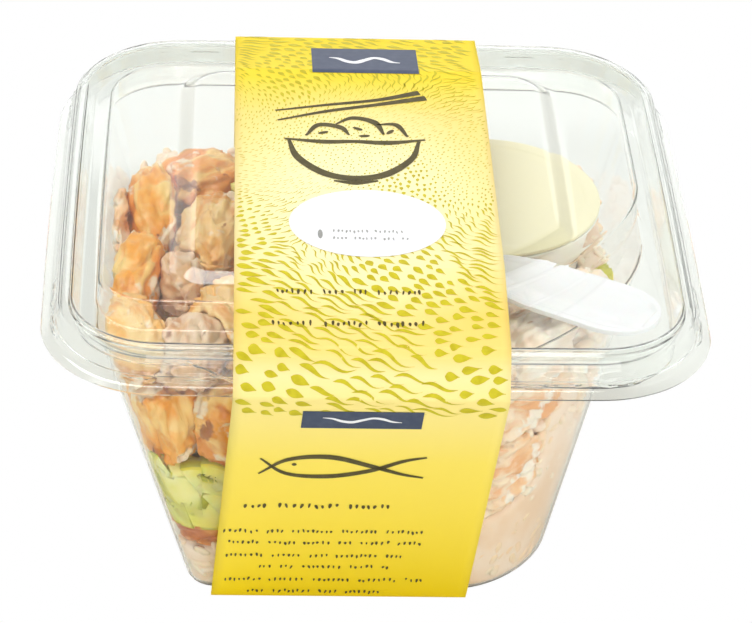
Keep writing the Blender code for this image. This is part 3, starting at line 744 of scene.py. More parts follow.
def add_band(card):
    """The band itself: a closed strip of card."""
    across = np.linspace(-BAND_WIDTH / 2, BAND_WIDTH / 2, BAND_COLUMNS)
    rows = []
    for start, end in zip(BAND_RUN, BAND_RUN[1:]):
        steps = max(1, math.ceil((end - start) / BAND_ROW))
        rows += [band_point(run, across, 0.0) for run in np.linspace(start, end, steps + 1)[:-1]]
    rows.append(band_point(BAND_RUN[-1], across, 0.0))
    last = BAND_PATH[0] - BAND_PATH[-1]
    for t in np.linspace(0, 1, UNDER_ROWS)[1:-1]:
        y, low = BAND_PATH[-1] + last * t
        x = BAND_MIDDLE + band_shift(y, low) + across
        rows.append(np.stack([x, np.full(len(x), y), np.full(len(x), RIM_Z + low)], -1))
    count = len(across)
    faces = loft_faces(len(rows), count, closed=False)
    end = (len(rows) - 1) * count
    faces += [(end + i, end + i + 1, i + 1, i) for i in range(count - 1)]
    made = mesh_of("paper_band", np.concatenate(rows), [face[::-1] for face in faces], [card])
    with opened(made.data) as built:
        built.normal_update()
        highest = max(built.faces, key=lambda face: face.calc_center_median().z)
        if highest.normal.z < 0:
            bmesh.ops.reverse_faces(built, faces=built.faces)
    made.data.shade_smooth()
    made.data.set_sharp_from_angle(angle=BAND_SHARP)
    thicken(made, CARD_SHEET, offset=1)
    return keep(made, ["band"])


# Print: how heavy its brush lines are, and how far seeds, ink and ink on ink lie off the card
BRUSH_WEIGHT = 1.45
BRUSH_STEPS = 8
SEED_LIFT = 0.05
INK_LIFT = 0.10
TOP_INK_LIFT = 0.13
PATCH_COLUMNS = 12
PATCH_ROW = 0.5
# Rows of points across a seed mark, more on a wide one, so that it follows the card's bends
WIDE_SEED = 0.9
SEED_ROWS = 3
WIDE_SEED_ROWS = 9
# Grain marks of the small print, as shares of their row's height, and how many go in a group
MARK_GROUP = (3, 10)
MARK_GROUP_GAP = 0.9
MARK_SWAY = 0.12
MARK_HALF_LONG = (0.3, 0.52)
MARK_HALF_WIDE = (0.12, 0.2)
MARK_STEP = (0.55, 0.85)
MARK_CORNERS = 8
MARK_EGG = 0.3
# Height in metres inside the pack, from which print faces outwards
PRINT_MIDDLE = 0.04


def grid_faces(rows, columns):
    """Faces of a grid of points."""
    count = columns + 1
    return [(r * count + c, r * count + c + 1, (r + 1) * count + c + 1, (r + 1) * count + c)
            for r in range(rows) for c in range(columns)]


class Print:
    """Flat printed shapes that lie just above the band's outer side."""

    def __init__(self, lift):
        self.lift = CARD_SHEET + lift
        self.points = []
        self.faces = []

    def add(self, runs, across, faces):
        """Points given by their place along and across the band, with the faces between them."""
        base = len(self.points)
        self.points += [tuple(point) for point in band_point(np.asarray(runs), np.asarray(across), self.lift)]
        self.faces += [tuple(base + index for index in face) for face in faces]

    def oval(self, run, x, half_long, half_wide, turn, corners=12, egg=0.0):
        """Oval mark, its long way turned from across the band, pointed at one end by egg."""
        angles = np.linspace(0, 2 * math.pi, corners, endpoint=False)
        u, v = half_long * np.cos(angles), half_wide * np.sin(angles) * (1 + egg * np.cos(angles))
        c, s = math.cos(turn), math.sin(turn)
        self.add(run + u * s + v * c, x + u * c - v * s, [tuple(range(corners))])

    def leaf(self, run, x, long, wide, turn, skew, wave, steps):
        """Drop or dash along a slightly waving line, fuller at one end where skewed."""
        t = np.linspace(0, 1, steps + 1)
        u, v = (t - 0.5) * long, wave * np.sin(2 * math.pi * t)
        half = wide / 2 * np.maximum(np.sin(math.pi * t ** skew), 0.02) ** 0.7
        c, s = math.cos(turn), math.sin(turn)
        ways = np.linspace(1, -1, SEED_ROWS if wide < WIDE_SEED else WIDE_SEED_ROWS)
        runs = np.concatenate([run + u * s + (v + way * half) * c for way in ways])
        across = np.concatenate([x + u * c - (v + way * half) * s for way in ways])
        self.add(runs, across, grid_faces(len(ways) - 1, steps))

    def words(self, run, start, end, tall, rng):
        """Row of small upright grain marks in groups, as long as a line of small print."""
        x = start
        while x < end - tall:
            for _ in range(rng.integers(*MARK_GROUP)):
                if x > end:
                    break
                up = run + MARK_SWAY * tall * rng.normal()
                half_long = tall * rng.uniform(*MARK_HALF_LONG)
                half_wide = tall * rng.uniform(*MARK_HALF_WIDE)
                turn = math.pi / 2 + rng.normal(0, MARK_SWAY)
                self.oval(up, x, half_long, half_wide, turn, MARK_CORNERS, MARK_EGG)
                x += tall * rng.uniform(*MARK_STEP)
            x += tall * MARK_GROUP_GAP

    def patch(self, runs, across):
        """Upright rectangle in a grid, so that it follows the band's bends."""
        rows = max(2, math.ceil(abs(runs[1] - runs[0]) / PATCH_ROW))
        grid_run, grid_x = np.meshgrid(
            np.linspace(*runs, rows + 1), np.linspace(*across, PATCH_COLUMNS + 1), indexing="ij")
        self.add(grid_run.ravel(), grid_x.ravel(), grid_faces(rows, PATCH_COLUMNS))

    def stroke(self, places, widths, run=0.0):
        """Brush line through (across, along) places from a place on the band, with a width at each."""
        places = np.array(places, float) + (0, run)
        spots = np.arange(len(places))
        fine = np.linspace(0, len(places) - 1, (len(places) - 1) * BRUSH_STEPS + 1)
        path = np.stack([smooth_through(places[:, axis], fine) for axis in (0, 1)], 1)
        width = np.interp(fine, spots, widths) * BRUSH_WEIGHT / 2
        ahead = np.gradient(path, axis=0)
        ahead /= np.linalg.norm(ahead, axis=1, keepdims=True) + 1e-9
        side = np.stack([-ahead[:, 1], ahead[:, 0]], 1) * width[:, None]
        points = np.concatenate([path + side, path - side])
        self.add(points[:, 1], points[:, 0], grid_faces(1, len(path) - 1))

    def finish(self, name, ink):
        """The object of all the shapes added."""
        made = mesh_of(name, self.points, self.faces, [ink], smooth=False)
        with opened(made.data) as built:
            built.normal_update()
            for face in built.faces:
                middle = face.calc_center_median()
                if face.normal.dot(Vector((0, middle.y, middle.z - PRINT_MIDDLE))) < 0:
                    face.normal_flip()
        return keep(made, [])


def smooth_through(values, fine):
    """Curve through evenly spaced values (Catmull-Rom)."""
    padded = np.concatenate([[2 * values[0] - values[1]], values, [2 * values[-1] - values[-2]]])
    index = np.clip(fine.astype(int), 0, len(values) - 2)
    t = fine - index
    p0, p1, p2, p3 = (padded[index + k] for k in range(4))
    curve = 2 * p1 + (p2 - p0) * t + (2 * p0 - 5 * p1 + 4 * p2 - p3) * t ** 2
    return 0.5 * (curve + (3 * p1 - p0 - 3 * p2 + p3) * t ** 3)


# Seed marks: how many are tried, what they turn about, where they lie and how large they are
SEED_TRIES = 16000
SEED_FOCI = ((-38.0, 22.0), (40.0, -14.0))
SEED_FROM = -11.0
SEED_UP_TO = 71.0
SEED_MARGIN = 0.3
SEED_SMALL = 0.62
SEED_LARGE = 3.6
# Place over the lid where they are smallest, how far that goes on, and how soon they are large on both sides
SEED_MIDDLE_Y = 6.0
SEED_EVEN = 10
SEED_GROWS = (46.0, 54.0)
# Noise that their sizes and turns sway with, and how slim they are: pace across and along, shift and layer
SWAY_NOISE = (0.05, 0.05, 0, 3)
SLIM_NOISE = (0.04, 0.028, 7, 9)
SEED_SWAY = 0.45
SEED_TURN_SWAY = 0.5
SEED_TURN_SPREAD = 0.08
# How slim they are where that noise is 0 and how fast it changes, and lengths and widths for their size
SLIM_MIDDLE = 0.45
SLIM_CHANGE = 2.6
SEED_LENGTH = (1.0, 1.3)
SEED_WIDTH = (0.56, -0.34)
SEED_LENGTHS = (0.8, 1.25)
SEED_WIDTHS = (0.8, 1.2)
# Fuller ends, waves of the slim ones, steps of large and small ones, and gaps at their ends and sides
SEED_SKEWS = (1.2, 2.4)
SEED_WAVE = 0.08
LARGE_SEED = 1
SEED_STEPS = (10, 4)
SEED_GAPS = (0.2, 0.22)
FAR_OFF = 1e6


def slow_noise(spots, across_pace, run_pace, shift, layer):
    """Slow noise at places on the band."""
    return np.array([noise.noise(Vector((x * across_pace + shift, run * run_pace, layer)))
                     for x, run in spots])


def seeds_apart(spots, turns, longs, wides, order, half):
    """Which seed marks to keep, so that none touches another or the band's edges."""
    placed = []
    kept_spots, kept_reach = np.full((len(spots), 2), FAR_OFF), np.zeros((len(spots), 2))
    for index in order:
        x, run = spots[index]
        c, s = math.cos(turns[index]), math.sin(turns[index])
        if abs(x) + abs(c) * longs[index] / 2 > half:
            continue
        reach = np.array([longs[index] * 0.5 + SEED_GAPS[0], wides[index] * 0.5 + SEED_GAPS[1]])
        count = len(placed)
        apart = kept_spots[:count] - (x, run)
        near = (apart @ (c, s) / (reach[0] + kept_reach[:count, 0])) ** 2
        near += (apart @ (-s, c) / (reach[1] + kept_reach[:count, 1])) ** 2
        if count and near.min() < 1:
            continue
        kept_spots[count], kept_reach[count] = (x, run), reach
        placed.append(index)
    return placed


def add_seeds(ink):
    """Seed marks that turn about two places, small in the middle, large towards both ends, none touching."""
    marks = Print(SEED_LIFT)
    rng = np.random.default_rng(5)
    half = BAND_WIDTH / 2 - SEED_MARGIN
    across = rng.uniform(-half, half, SEED_TRIES)
    spots = np.stack([across, rng.uniform(run_front(SEED_FROM), run_over(SEED_UP_TO), SEED_TRIES)], 1)
    middle = run_over(SEED_MIDDLE_Y)
    sway = slow_noise(spots, *SWAY_NOISE)
    slim = smooth_step(SLIM_MIDDLE + SLIM_CHANGE * slow_noise(spots, *SLIM_NOISE))
    far = (np.abs(spots[:, 1] - middle) - SEED_EVEN) / np.where(spots[:, 1] > middle, *SEED_GROWS)
    sizes = SEED_SMALL + (SEED_LARGE - SEED_SMALL) * smooth_step(far + SEED_SWAY * sway)
    way = np.zeros(SEED_TRIES, complex)
    for x, y in SEED_FOCI:
        away = (spots[:, 0] - x) + 1j * (spots[:, 1] - run_over(y))
        way += (away / np.abs(away)) ** 2 / np.abs(away) ** 1.5
    turns = np.angle(way) / 2 + math.pi / 2 + SEED_TURN_SWAY * sway
    turns += rng.normal(0, SEED_TURN_SPREAD, SEED_TRIES)
    longs = sizes * (SEED_LENGTH[0] + SEED_LENGTH[1] * slim) * rng.uniform(*SEED_LENGTHS, SEED_TRIES)
    wides = sizes * (SEED_WIDTH[0] + SEED_WIDTH[1] * slim) * rng.uniform(*SEED_WIDTHS, SEED_TRIES)
    for index in seeds_apart(spots, turns, longs, wides, np.argsort(-sizes), half):
        skew, wave = rng.uniform(*SEED_SKEWS), SEED_WAVE * longs[index] * slim[index]
        steps = SEED_STEPS[0] if sizes[index] > LARGE_SEED else SEED_STEPS[1]
        x, run = spots[index]
        marks.leaf(run, x, longs[index], wides[index], turns[index], skew, wave, steps)
    marks.finish("seed_marks", ink)


# Brush lines as (across, along) places and the width at each: the bowl with its rice and sticks, and the fish
BOWL_LINES = (
    (((-17, 11), (-15, 3), (-9, -4), (-2, -6), (5, -4), (11, 3), (13, 11)),
     (0.5, 1.3, 1.6, 1.5, 1.6, 1.1, 0.5)),
    (((-18, 11.5), (-9, 10.3), (-2, 10.6), (6, 10.2), (14.5, 11.8)), (0.4, 1.2, 0.9, 1.3, 0.4)),
    (((-7, -7.2), (-2, -8.0), (3, -7.0)), (0.4, 1.2, 0.4)),
    (((-13, 13), (-10, 18), (-5, 17), (-3, 13.5)), (0.4, 1.1, 1.2, 0.3)),
    (((-6, 18.5), (-2, 21.5), (3, 19.5), (5, 14)), (0.3, 1.0, 1.3, 0.4)),
    (((3.5, 18.5), (8, 18.5), (10.5, 13)), (0.3, 1.1, 0.4)),
    (((-19.5, 20), (-8, 24.5), (4, 28), (15.5, 31.5)), (0.4, 0.8, 0.9, 1.5)),
    (((-20, 24.5), (-8, 27.5), (4, 30.2), (14, 34)), (0.4, 0.7, 0.9, 1.4)),
)
FISH_LINES = (
    (((-22, -3), (-16, 2.6), (-7, 3.8), (2, 0.5), (9, -2.6), (14, -4)), (0.3, 0.9, 1.2, 1.0, 0.7, 0.4)),
    (((-22, 3), (-16, -2.8), (-7, -3.8), (2, -1.5), (9, 2.4), (14, 4)), (0.3, 0.8, 1.1, 1.0, 0.8, 0.4)),
)
FISH_LOW = -29.5
# Grains in the drawn bowl: across, along and turn, and their half sizes
BOWL_GRAINS = ((-9, 14.5, 0.4), (-1, 16.5, -0.5), (6.5, 15.2, 0.9), (0.5, 13.2, 0.1))
BOWL_GRAIN_SIZE = (1.3, 0.55)
# Fish's eye: along, across and radius
FISH_EYE = (0.8, -14.5, 0.55)
# Rows of grain marks: y over the lid or height on the front, start, end and how tall they are
TOP_ROWS = ((-51.6, -20.0, 11.0, 1.7), (-61.5, -21.0, 11.7, 1.9))
FRONT_ROWS = (
    (-44.4, -24.0, 13.0, 2.1), (-54.1, -28.0, 17.0, 1.6), (-58.5, -26.6, 17.0, 1.6),
    (-63.6, -26.8, 13.0, 1.6), (-68.0, -19.0, 11.0, 1.6), (-73.3, -26.5, 19.5, 1.6),
    (-78.0, -21.0, 12.0, 1.6),
)


def add_drawing(ink):
    """Brush drawing of a bowl with rice and sticks, a small fish on the front, and rows of grain marks."""
    lines = Print(INK_LIFT)
    bowl, fish = run_over(0.0), run_front(FISH_LOW)
    for places, widths in BOWL_LINES:
        lines.stroke(places, widths, bowl)
    for x, along, turn in BOWL_GRAINS:
        lines.oval(bowl + along, x, *BOWL_GRAIN_SIZE, turn)
    for places, widths in FISH_LINES:
        lines.stroke(places, widths, fish)
    along, x, radius = FISH_EYE
    lines.oval(fish + along, x, radius, radius, 0, 10)
    rng = np.random.default_rng(12)
    for rows, run_at in ((TOP_ROWS, run_over), (FRONT_ROWS, run_front)):
        for at, start, end, tall in rows:
            lines.words(run_at(at), start, end, tall, rng)
    lines.finish("dark_drawing", ink)


# Blue bars: y over the lid or heights on the front, and how far they reach across
BACK_BAR = ((43.2, 60.0), (-11.0, 14.4))
FRONT_BAR = ((-15.5, -9.6), (-14.2, 11.6))
# Waves on them: y or height, middle across, height and weight, then their length and the brush's widths
BACK_WAVE = (51.6, 1.7, 1.8, 0.8)
FRONT_WAVE = (-12.5, -1.3, 0.8, 0.4)
WAVE_LENGTH = 8.5
WAVE_TURNS = 5
WAVE_WIDTHS = np.array((0.3, 1, 1.4, 1.6, 1.4, 1.2, 1.4, 1, 0.3))
# White oval: its middle, half sizes, and rings and corners of its mesh
OVAL_Y = -25.3
OVAL_X = 0.05
OVAL_HALF_LONG = 17.4
OVAL_HALF_WIDE = 14.2
OVAL_RINGS = 6
OVAL_CORNERS = 48
# Faint rows on it, and the mark before them: how far along from its middle, then as in the rows above
FAINT_ROWS = ((-3.6, -7.5, 11.0, 1.3), (-6.6, -7.5, 9.0, 1.3))
FAINT_MARK = (-5.0, -10.5, 1.9, 0.55)


def add_oval(white, middle):
    """White oval as rings about its middle, so that it follows the card."""
    angles = np.linspace(0, 2 * math.pi, OVAL_CORNERS, endpoint=False)
    runs, across = [middle], [OVAL_X]
    for step in range(1, OVAL_RINGS + 1):
        runs += list(middle + OVAL_HALF_WIDE * step / OVAL_RINGS * np.sin(angles))
        across += list(OVAL_X + OVAL_HALF_LONG * step / OVAL_RINGS * np.cos(angles))
    faces = [(0, 1 + i, 1 + (i + 1) % OVAL_CORNERS) for i in range(OVAL_CORNERS)]
    for ring_start in range(1, 1 + (OVAL_RINGS - 1) * OVAL_CORNERS, OVAL_CORNERS):
        next_start = ring_start + OVAL_CORNERS
        for i in range(OVAL_CORNERS):
            after = (i + 1) % OVAL_CORNERS
            faces.append((ring_start + i, next_start + i, next_start + after, ring_start + after))
    oval = Print(INK_LIFT)
    oval.add(runs, across, faces)
    oval.finish("white_oval", white)


def add_labels(navy, white, grey):
    """Dark blue bars with a plain wave at the back and front, and a white oval with faint marks on top."""
    bars = Print(INK_LIFT)
    waves = Print(TOP_INK_LIFT)
    for run_at, (ends, across), wave in ((run_over, BACK_BAR, BACK_WAVE), (run_front, FRONT_BAR, FRONT_WAVE)):
        bars.patch([run_at(end) for end in ends], across)
        at, x, tall, heavy = wave
        steps = np.linspace(-1, 1, len(WAVE_WIDTHS))
        places = [(x + WAVE_LENGTH * t, run_at(at) + tall * math.sin(WAVE_TURNS * t)) for t in steps]
        waves.stroke(places, heavy * WAVE_WIDTHS)
    bars.finish("blue_bars", navy)
    waves.finish("white_waves", white)
    middle = run_over(OVAL_Y)
    add_oval(white, middle)
    faint = Print(TOP_INK_LIFT)
    rng = np.random.default_rng(7)
    for along, *row in FAINT_ROWS:
        faint.words(middle + along, *row, rng)
    along, *mark = FAINT_MARK
    faint.oval(middle + along, *mark, math.pi / 2, 14)
    faint.finish("grey_marks", grey)


# Spoon and dip pot

def spoon_half_width(along):
    """Half width of the spoon at a distance from its tip, as the solid has it."""
    bowl, handle = SPOON_BOWL_WIDTH / 2, SPOON_HANDLE_WIDTH / 2
    round_end = SPOON_BOWL_WIDTH * SPOON_ROUND_END
    if along < round_end:
        return bowl * math.sqrt(1 - (1 - along / round_end) ** SPOON_ROUND_POWER)
    neck = smooth_step((along / SPOON_BOWL_LENGTH - SPOON_NECK_START) / SPOON_NECK_LENGTH)
    left = SPOON_LENGTH - along
    if left < handle:
        return math.sqrt(handle ** 2 - (handle - left) ** 2)
    return bowl + (handle - bowl) * float(neck)


def spoon_height(along, s, half):
    """Height of the spoon's upper side: a step in from its edge, a shallow dish, and a rib on the handle."""
    dish_end, dish_fade = SPOON_BOWL_LENGTH * SPOON_DISH_END, SPOON_BOWL_LENGTH * SPOON_DISH_FADE
    dished = float(smooth_step((dish_end - along) / dish_fade))
    edge = min(half - abs(half * s), along)
    step_in = float(smooth_step((edge - SPOON_EDGE) / SPOON_STEP_WIDTH)) * SPOON_STEP
    dish = float(smooth_step((edge - SPOON_EDGE) / SPOON_DISH_WIDTH)) * (SPOON_DEPTH - SPOON_STEP)
    rib = SPOON_RIB * (1 - dished) * float(smooth_step(1 - abs(s) / SPOON_RIB_SHARE))
    return -(step_in + dish) * dished + rib


def add_spoon(plastic):
    """Spoon: a flat edge round a shallow dish, and a handle with a low rib."""
    lengthwise, across = 130, 28
    points = []
    for step in range(1, lengthwise):
        along = SPOON_LENGTH * (1 - math.cos(math.pi * step / lengthwise)) / 2
        half = spoon_half_width(along)
        points += [(along, half * s, spoon_height(along, s, half)) for s in np.linspace(-1, 1, across + 1)]
    made = mesh_of("white_spoon", points, loft_faces(lengthwise - 1, across + 1, closed=False), [plastic])
    place = Matrix.Translation(Vector((*SPOON_TIP, RIM_Z + SPOON_Z)) * MM)
    made.data.transform(place @ Matrix.Rotation(SPOON_HEADING, 4, "Z"))
    if made.data.polygons[0].normal.z < 0:
        made.data.flip_normals()
    thicken(made, SPOON_SHEET, even=False)
    soft = made.modifiers.new("soft_edge", "BEVEL")
    soft.width = SPOON_BEVEL * MM
    soft.segments = 2
    keep(made, ["spoon"])


POT_SEGMENTS = 120
POT_BEND_STEPS = 4
POT_ROW = 2.0


def turned(name, profile, bends, material, wave=0.0):
    """Body turned about the pot's axis from a closed profile of (radius, height) points, with faint waves."""
    keys = [np.array([[radius, 0.0, height]]) for radius, height in profile]
    section = np.concatenate(subdivide(soften(keys, bends, POT_BEND_STEPS), POT_ROW))
    angles = np.linspace(0, 2 * math.pi, POT_SEGMENTS, endpoint=False)
    rows = []
    for radius, _, height in section:
        lift = wave * math.sin(radius * 0.9) * np.cos(3 * angles + radius * 0.2)
        x, y = POT_AT[0] + radius * np.cos(angles), POT_AT[1] + radius * np.sin(angles)
        rows.append(np.stack([x, y, RIM_Z + POT_TOP_Z + height + lift], 1))
    made = mesh_of(name, np.concatenate(rows), loft_faces(len(rows), POT_SEGMENTS), [material])
    with opened(made.data) as built:
        bmesh.ops.remove_doubles(built, verts=built.verts, dist=0.002 * MM)
        bmesh.ops.recalc_face_normals(built, faces=built.faces)
    made.data.shade_smooth()
    return made


def add_pot(plastic, film, dressing):
    """Dip pot with a rolled lip, its thin lid and the dressing in it."""
    low, lip, lip_low = -POT_HEIGHT, POT_RADIUS + POT_LIP, POT_LIP_LOW - GAP
    inner_top, inner_base = POT_RADIUS - POT_SHEET, POT_BASE_RADIUS - POT_SHEET
    floor = low + POT_SHEET
    cup = [
        (lip, lip_low - POT_SHEET / 2), (lip, lip_low - POT_SHEET), (POT_RADIUS, lip_low - POT_SHEET),
        (POT_BASE_RADIUS, low), (POT_AXIS, low), (POT_AXIS, floor), (inner_base, floor), (inner_top, lip_low),
        (lip, lip_low), (lip, lip_low - POT_SHEET / 2)]
    made = turned("pot_cup", cup, [0, 0.2, 0.4, 1.2, 0, 0, 1.0, 0.5, 0.2, 0], plastic)
    keep(made, ["dip_pot"])
    lid = [
        (POT_AXIS, -0.15), (POT_RADIUS - 2.6, -0.15), (POT_RADIUS - 1.9, 0), (lip, -0.1), (lip, POT_LIP_LOW),
        (POT_RADIUS - 1.0, POT_LIP_LOW), (POT_RADIUS - 1.6, -0.55), (POT_AXIS, -0.55)]
    made = turned("pot_lid", lid, [0, 0.4, 0.4, 0.3, 0.2, 0.3, 0.4, 0], film, wave=0.03)
    keep(made, ["dip_pot_lid"])
    fill = lip_low - DRESSING_LOW
    fill_radius = inner_base + (inner_top - inner_base) * (fill - floor) / (lip_low - floor)
    body = [
        (POT_AXIS, fill), (fill_radius - 1.2, fill), (fill_radius - 0.15, fill + 0.5),
        (inner_base - 0.1, floor + 0.1), (POT_AXIS, floor + 0.1)]
    made = turned("pot_dressing", body, [0, 0.6, 0.3, 1.2, 0], dressing, wave=0.12)
    keep(made, ["dressing"])


# Food

def fine_copy(node, name, material, voxel, smoothing):
    """A solid's shape as a new, fine and softly rounded mesh, with the points and their normals."""
    mesh = NODES[node].data.copy()
    with opened(mesh) as built:
        bmesh.ops.remove_doubles(built, verts=built.verts, dist=0.005 * MM)
    mesh.materials.clear()
    made = link(name, mesh)
    grid = made.modifiers.new("fine", "REMESH")
    grid.mode = "VOXEL"
    grid.voxel_size = voxel * MM
    soft = made.modifiers.new("soft", "SMOOTH")
    soft.factor = 0.5
    soft.iterations = smoothing
    mesh = applied(made).data
    mesh.materials.append(material)
    return made, coordinates(mesh), coordinates(mesh, "normal")


def coordinates(mesh, what="co"):
    """Vertex places or normals as an array."""
    values = np.zeros(len(mesh.vertices) * 3)
    mesh.vertices.foreach_get(what, values)
    return values.reshape(-1, 3)


def move_points(mesh, places):
    """Put a mesh's points at new places, and shade it smooth."""
    mesh.vertices.foreach_set("co", places.ravel())
    mesh.update()
    mesh.shade_smooth()


def own_axes(points):
    """Middle and axes of a piece, the longest axis first."""
    middle = points.mean(0)
    _, vectors = np.linalg.eigh(np.cov((points - middle).T))
    axes = vectors[:, ::-1].copy()
    if axes[0, 0] < 0:
        axes[:, 0] *= -1
    axes[:, 2] = np.cross(axes[:, 0], axes[:, 1])
    return middle, axes


def settle(thing, middle, axes):
    """Move a thing's origin and axes without moving it, so that its material follows its own long way."""
    place = Matrix([[*axes[row], middle[row]] for row in range(3)] + [[0, 0, 0, 1]])
    thing.data.transform(place.inverted())
    thing.matrix_world = place


WALL_REACH = wall_reach(FOOD_ROOM)
FLAKE_VOXEL = 0.7
FLAKE_SMOOTHING = 8
# Relief of a flake: how fast each kind changes along and across it, and how far it moves the surface
LUMPS = (0.10, 0.14)
LUMP_DEPTH = 0.9
SMALL_LUMPS = (0.3, 0.5)
SMALL_LUMP_DEPTH = 0.7
FIBRES = (0.22, 1.3)
FIBRE_DEPTH = 0.35
CLEFTS = (0.07, 0.24)
CLEFT_WIDTH = 0.10
CLEFT_BEND = 0.35
CLEFT_DEPTH = 1.1
RIDGES = (0.10, 0.45)
RIDGE_DEPTH = 1.3
FLAKE_SWELL = 0.2


def relief_at(place, pace, shift):
    """Noise at a place on a flake, given in its own axes."""
    u, v, w = place
    along, across = pace
    return noise.noise(Vector((u * along + shift[0], v * across + shift[1], w * across + shift[2])))


def add_flake(node, flesh, seed):
    """Salmon flake: uneven lumps, fibres along its long way, and clefts where it has begun to part."""
    made, points, normals = fine_copy(node, node + "_flesh", flesh, FLAKE_VOXEL, FLAKE_SMOOTHING)
    middle, axes = own_axes(points)
    moved = np.zeros(len(points))
    for index, place in enumerate((points - middle) @ axes / MM):
        lump = relief_at(place, LUMPS, (0, seed, 0))
        small = relief_at(place, SMALL_LUMPS, (0, 0, seed))
        fibre = relief_at(place, FIBRES, (seed, 0, 0))
        part = relief_at(place, CLEFTS, (CLEFT_BEND * lump, 0, 2 * seed))
        cleft = 1 - float(smooth_step(abs(part) / CLEFT_WIDTH))
        ridge = abs(relief_at(place, RIDGES, (2 * seed, 0, 0)))
        raised = LUMP_DEPTH * lump + SMALL_LUMP_DEPTH * small + FIBRE_DEPTH * fibre
        moved[index] = raised - CLEFT_DEPTH * cleft - RIDGE_DEPTH * ridge + FLAKE_SWELL
    move_points(made.data, kept_inside(points + normals * (moved * MM)[:, None], WALL_REACH))
    settle(made, Vector(middle), axes)
    return keep(made, [node])


def at_random(span, rng):
    """Number that is the least one or up to so much more."""
    least, more = span
    return least + more * rng.random()


# How many places are tried for each one that a spacing leaves room for, and how far spread pieces lean
SPREAD_TRIES = 7
LEAN = 0.3


def spread_on(mesh, spacing, seed):
    """Places on a mesh at least a spacing apart, in metres, with the normals there."""
    mesh.calc_loop_triangles()
    points = coordinates(mesh)
    corners = np.array([triangle.vertices[:] for triangle in mesh.loop_triangles])
    a, b, c = points[corners[:, 0]], points[corners[:, 1]], points[corners[:, 2]]
    cross = np.cross(b - a, c - a)
    area = np.linalg.norm(cross, axis=1) / 2
    rng = np.random.default_rng(seed)
    count = int(area.sum() / spacing ** 2 * SPREAD_TRIES)
    chosen = rng.choice(len(area), count, p=area / area.sum())
    s, t = rng.random(count), rng.random(count)
    flip = s + t > 1
    s[flip], t[flip] = 1 - s[flip], 1 - t[flip]
    places = a[chosen] + (b - a)[chosen] * s[:, None] + (c - a)[chosen] * t[:, None]
    normals = cross[chosen] / (2 * area[chosen][:, None] + 1e-12)
    kept, cells = [], {}
    for index, place in enumerate(places):
        cell = tuple(np.floor(place / spacing).astype(int))
        near = [other for dx in (-1, 0, 1) for dy in (-1, 0, 1) for dz in (-1, 0, 1)
                for other in cells.get((cell[0] + dx, cell[1] + dy, cell[2] + dz), ())]
        if all(np.sum((places[other] - place) ** 2) >= spacing ** 2 for other in near):
            cells.setdefault(cell, []).append(index)
            kept.append(index)
    return places[kept], normals[kept]


def joined(name, shapes, materials):
    """One mesh of many placed shapes. Each shape is (points in metres, faces, material numbers)."""
    points, faces, numbers, base = [], [], [], 0
    for shape_points, shape_faces, shape_numbers in shapes:
        points.append(shape_points)
        faces += [tuple(index + base for index in face) for face in shape_faces]
        numbers += shape_numbers
        base += len(shape_points)
    mesh = bpy.data.meshes.new(name)
    mesh.from_pydata(np.concatenate(points).tolist(), [], faces)
    for material in materials:
        mesh.materials.append(material)
    mesh.polygons.foreach_set("material_index", numbers)
    mesh.shade_smooth()
    return link(name, mesh)


def frame_on(normal, angle):
    """Axes with the third along a normal, turned by an angle about it."""
    other = np.array([1.0, 0, 0]) if abs(normal[0]) < 0.8 else np.array([0, 1.0, 0])
    x = np.cross(other, normal)
    x /= np.linalg.norm(x)
    y = np.cross(normal, x)
    c, s = math.cos(angle), math.sin(angle)
    return np.stack([x * c + y * s, y * c - x * s, normal], 1)


# Rice: its grains' sizes (length, width and bend), mesh and spacing, and the share kept on the walls
GRAIN_SIZES = ((5.0, 2.6, 0.25), (4.5, 2.8, -0.2), (5.5, 2.5, 0.35))
GRAIN_SEGMENTS = 7
GRAIN_RINGS = 6
GRAIN_FLATNESS = 0.86
GRAIN_BLUNTNESS = 0.75
RICE_SPACING = 2.6
RICE_VOXEL = 1.5
RICE_SMOOTHING = 4
WALL_GRAINS = 0.85
# Bed's own lumps, and how far its lower part swells towards the walls and stays from them
BED_LUMP = 0.6
BED_LUMP_PACE = 260
BED_SWELL = 0.1
BED_LOW_SWELL = 0.6
BED_LOW = -45.0
BED_ROOM = 0.15
# How far down a place may look and still get a grain, what counts as a wall, and how far up grains start
GRAIN_LOWEST_LOOK = -0.7
WALL_LOOK = 0.25
GRAIN_OFF_FLOOR = 1.5
# Least size of a grain and how deep it sits, each with how much more it may be
GRAIN_SIZE = (0.9, 0.2)
GRAIN_SUNK = (0.45, 0.6)


def grain_shape(long, wide, bend):
    """One short, plump grain of rice, about 60 triangles."""
    points = [(-long / 2, 0, 0)]
    for row in range(1, GRAIN_RINGS):
        angle = math.pi * row / GRAIN_RINGS
        radius = wide / 2 * math.sin(angle) ** GRAIN_BLUNTNESS
        x = -math.cos(angle) * long / 2
        for index in range(GRAIN_SEGMENTS):
            turn = 2 * math.pi * index / GRAIN_SEGMENTS
            y = radius * math.cos(turn) + bend * (x / long) ** 2 * 4
            points.append((x, y, GRAIN_FLATNESS * radius * math.sin(turn)))
    points.append((long / 2, 0, 0))
    faces = []
    last = 1 + (GRAIN_RINGS - 2) * GRAIN_SEGMENTS
    for index in range(GRAIN_SEGMENTS):
        after = (index + 1) % GRAIN_SEGMENTS
        faces.append((0, 1 + after, 1 + index))
        for base in range(1, last, GRAIN_SEGMENTS):
            ahead = base + GRAIN_SEGMENTS
            faces.append((base + index, base + after, ahead + after, ahead + index))
        faces.append((len(points) - 1, last + index, last + after))
    return np.array(points) * MM, faces


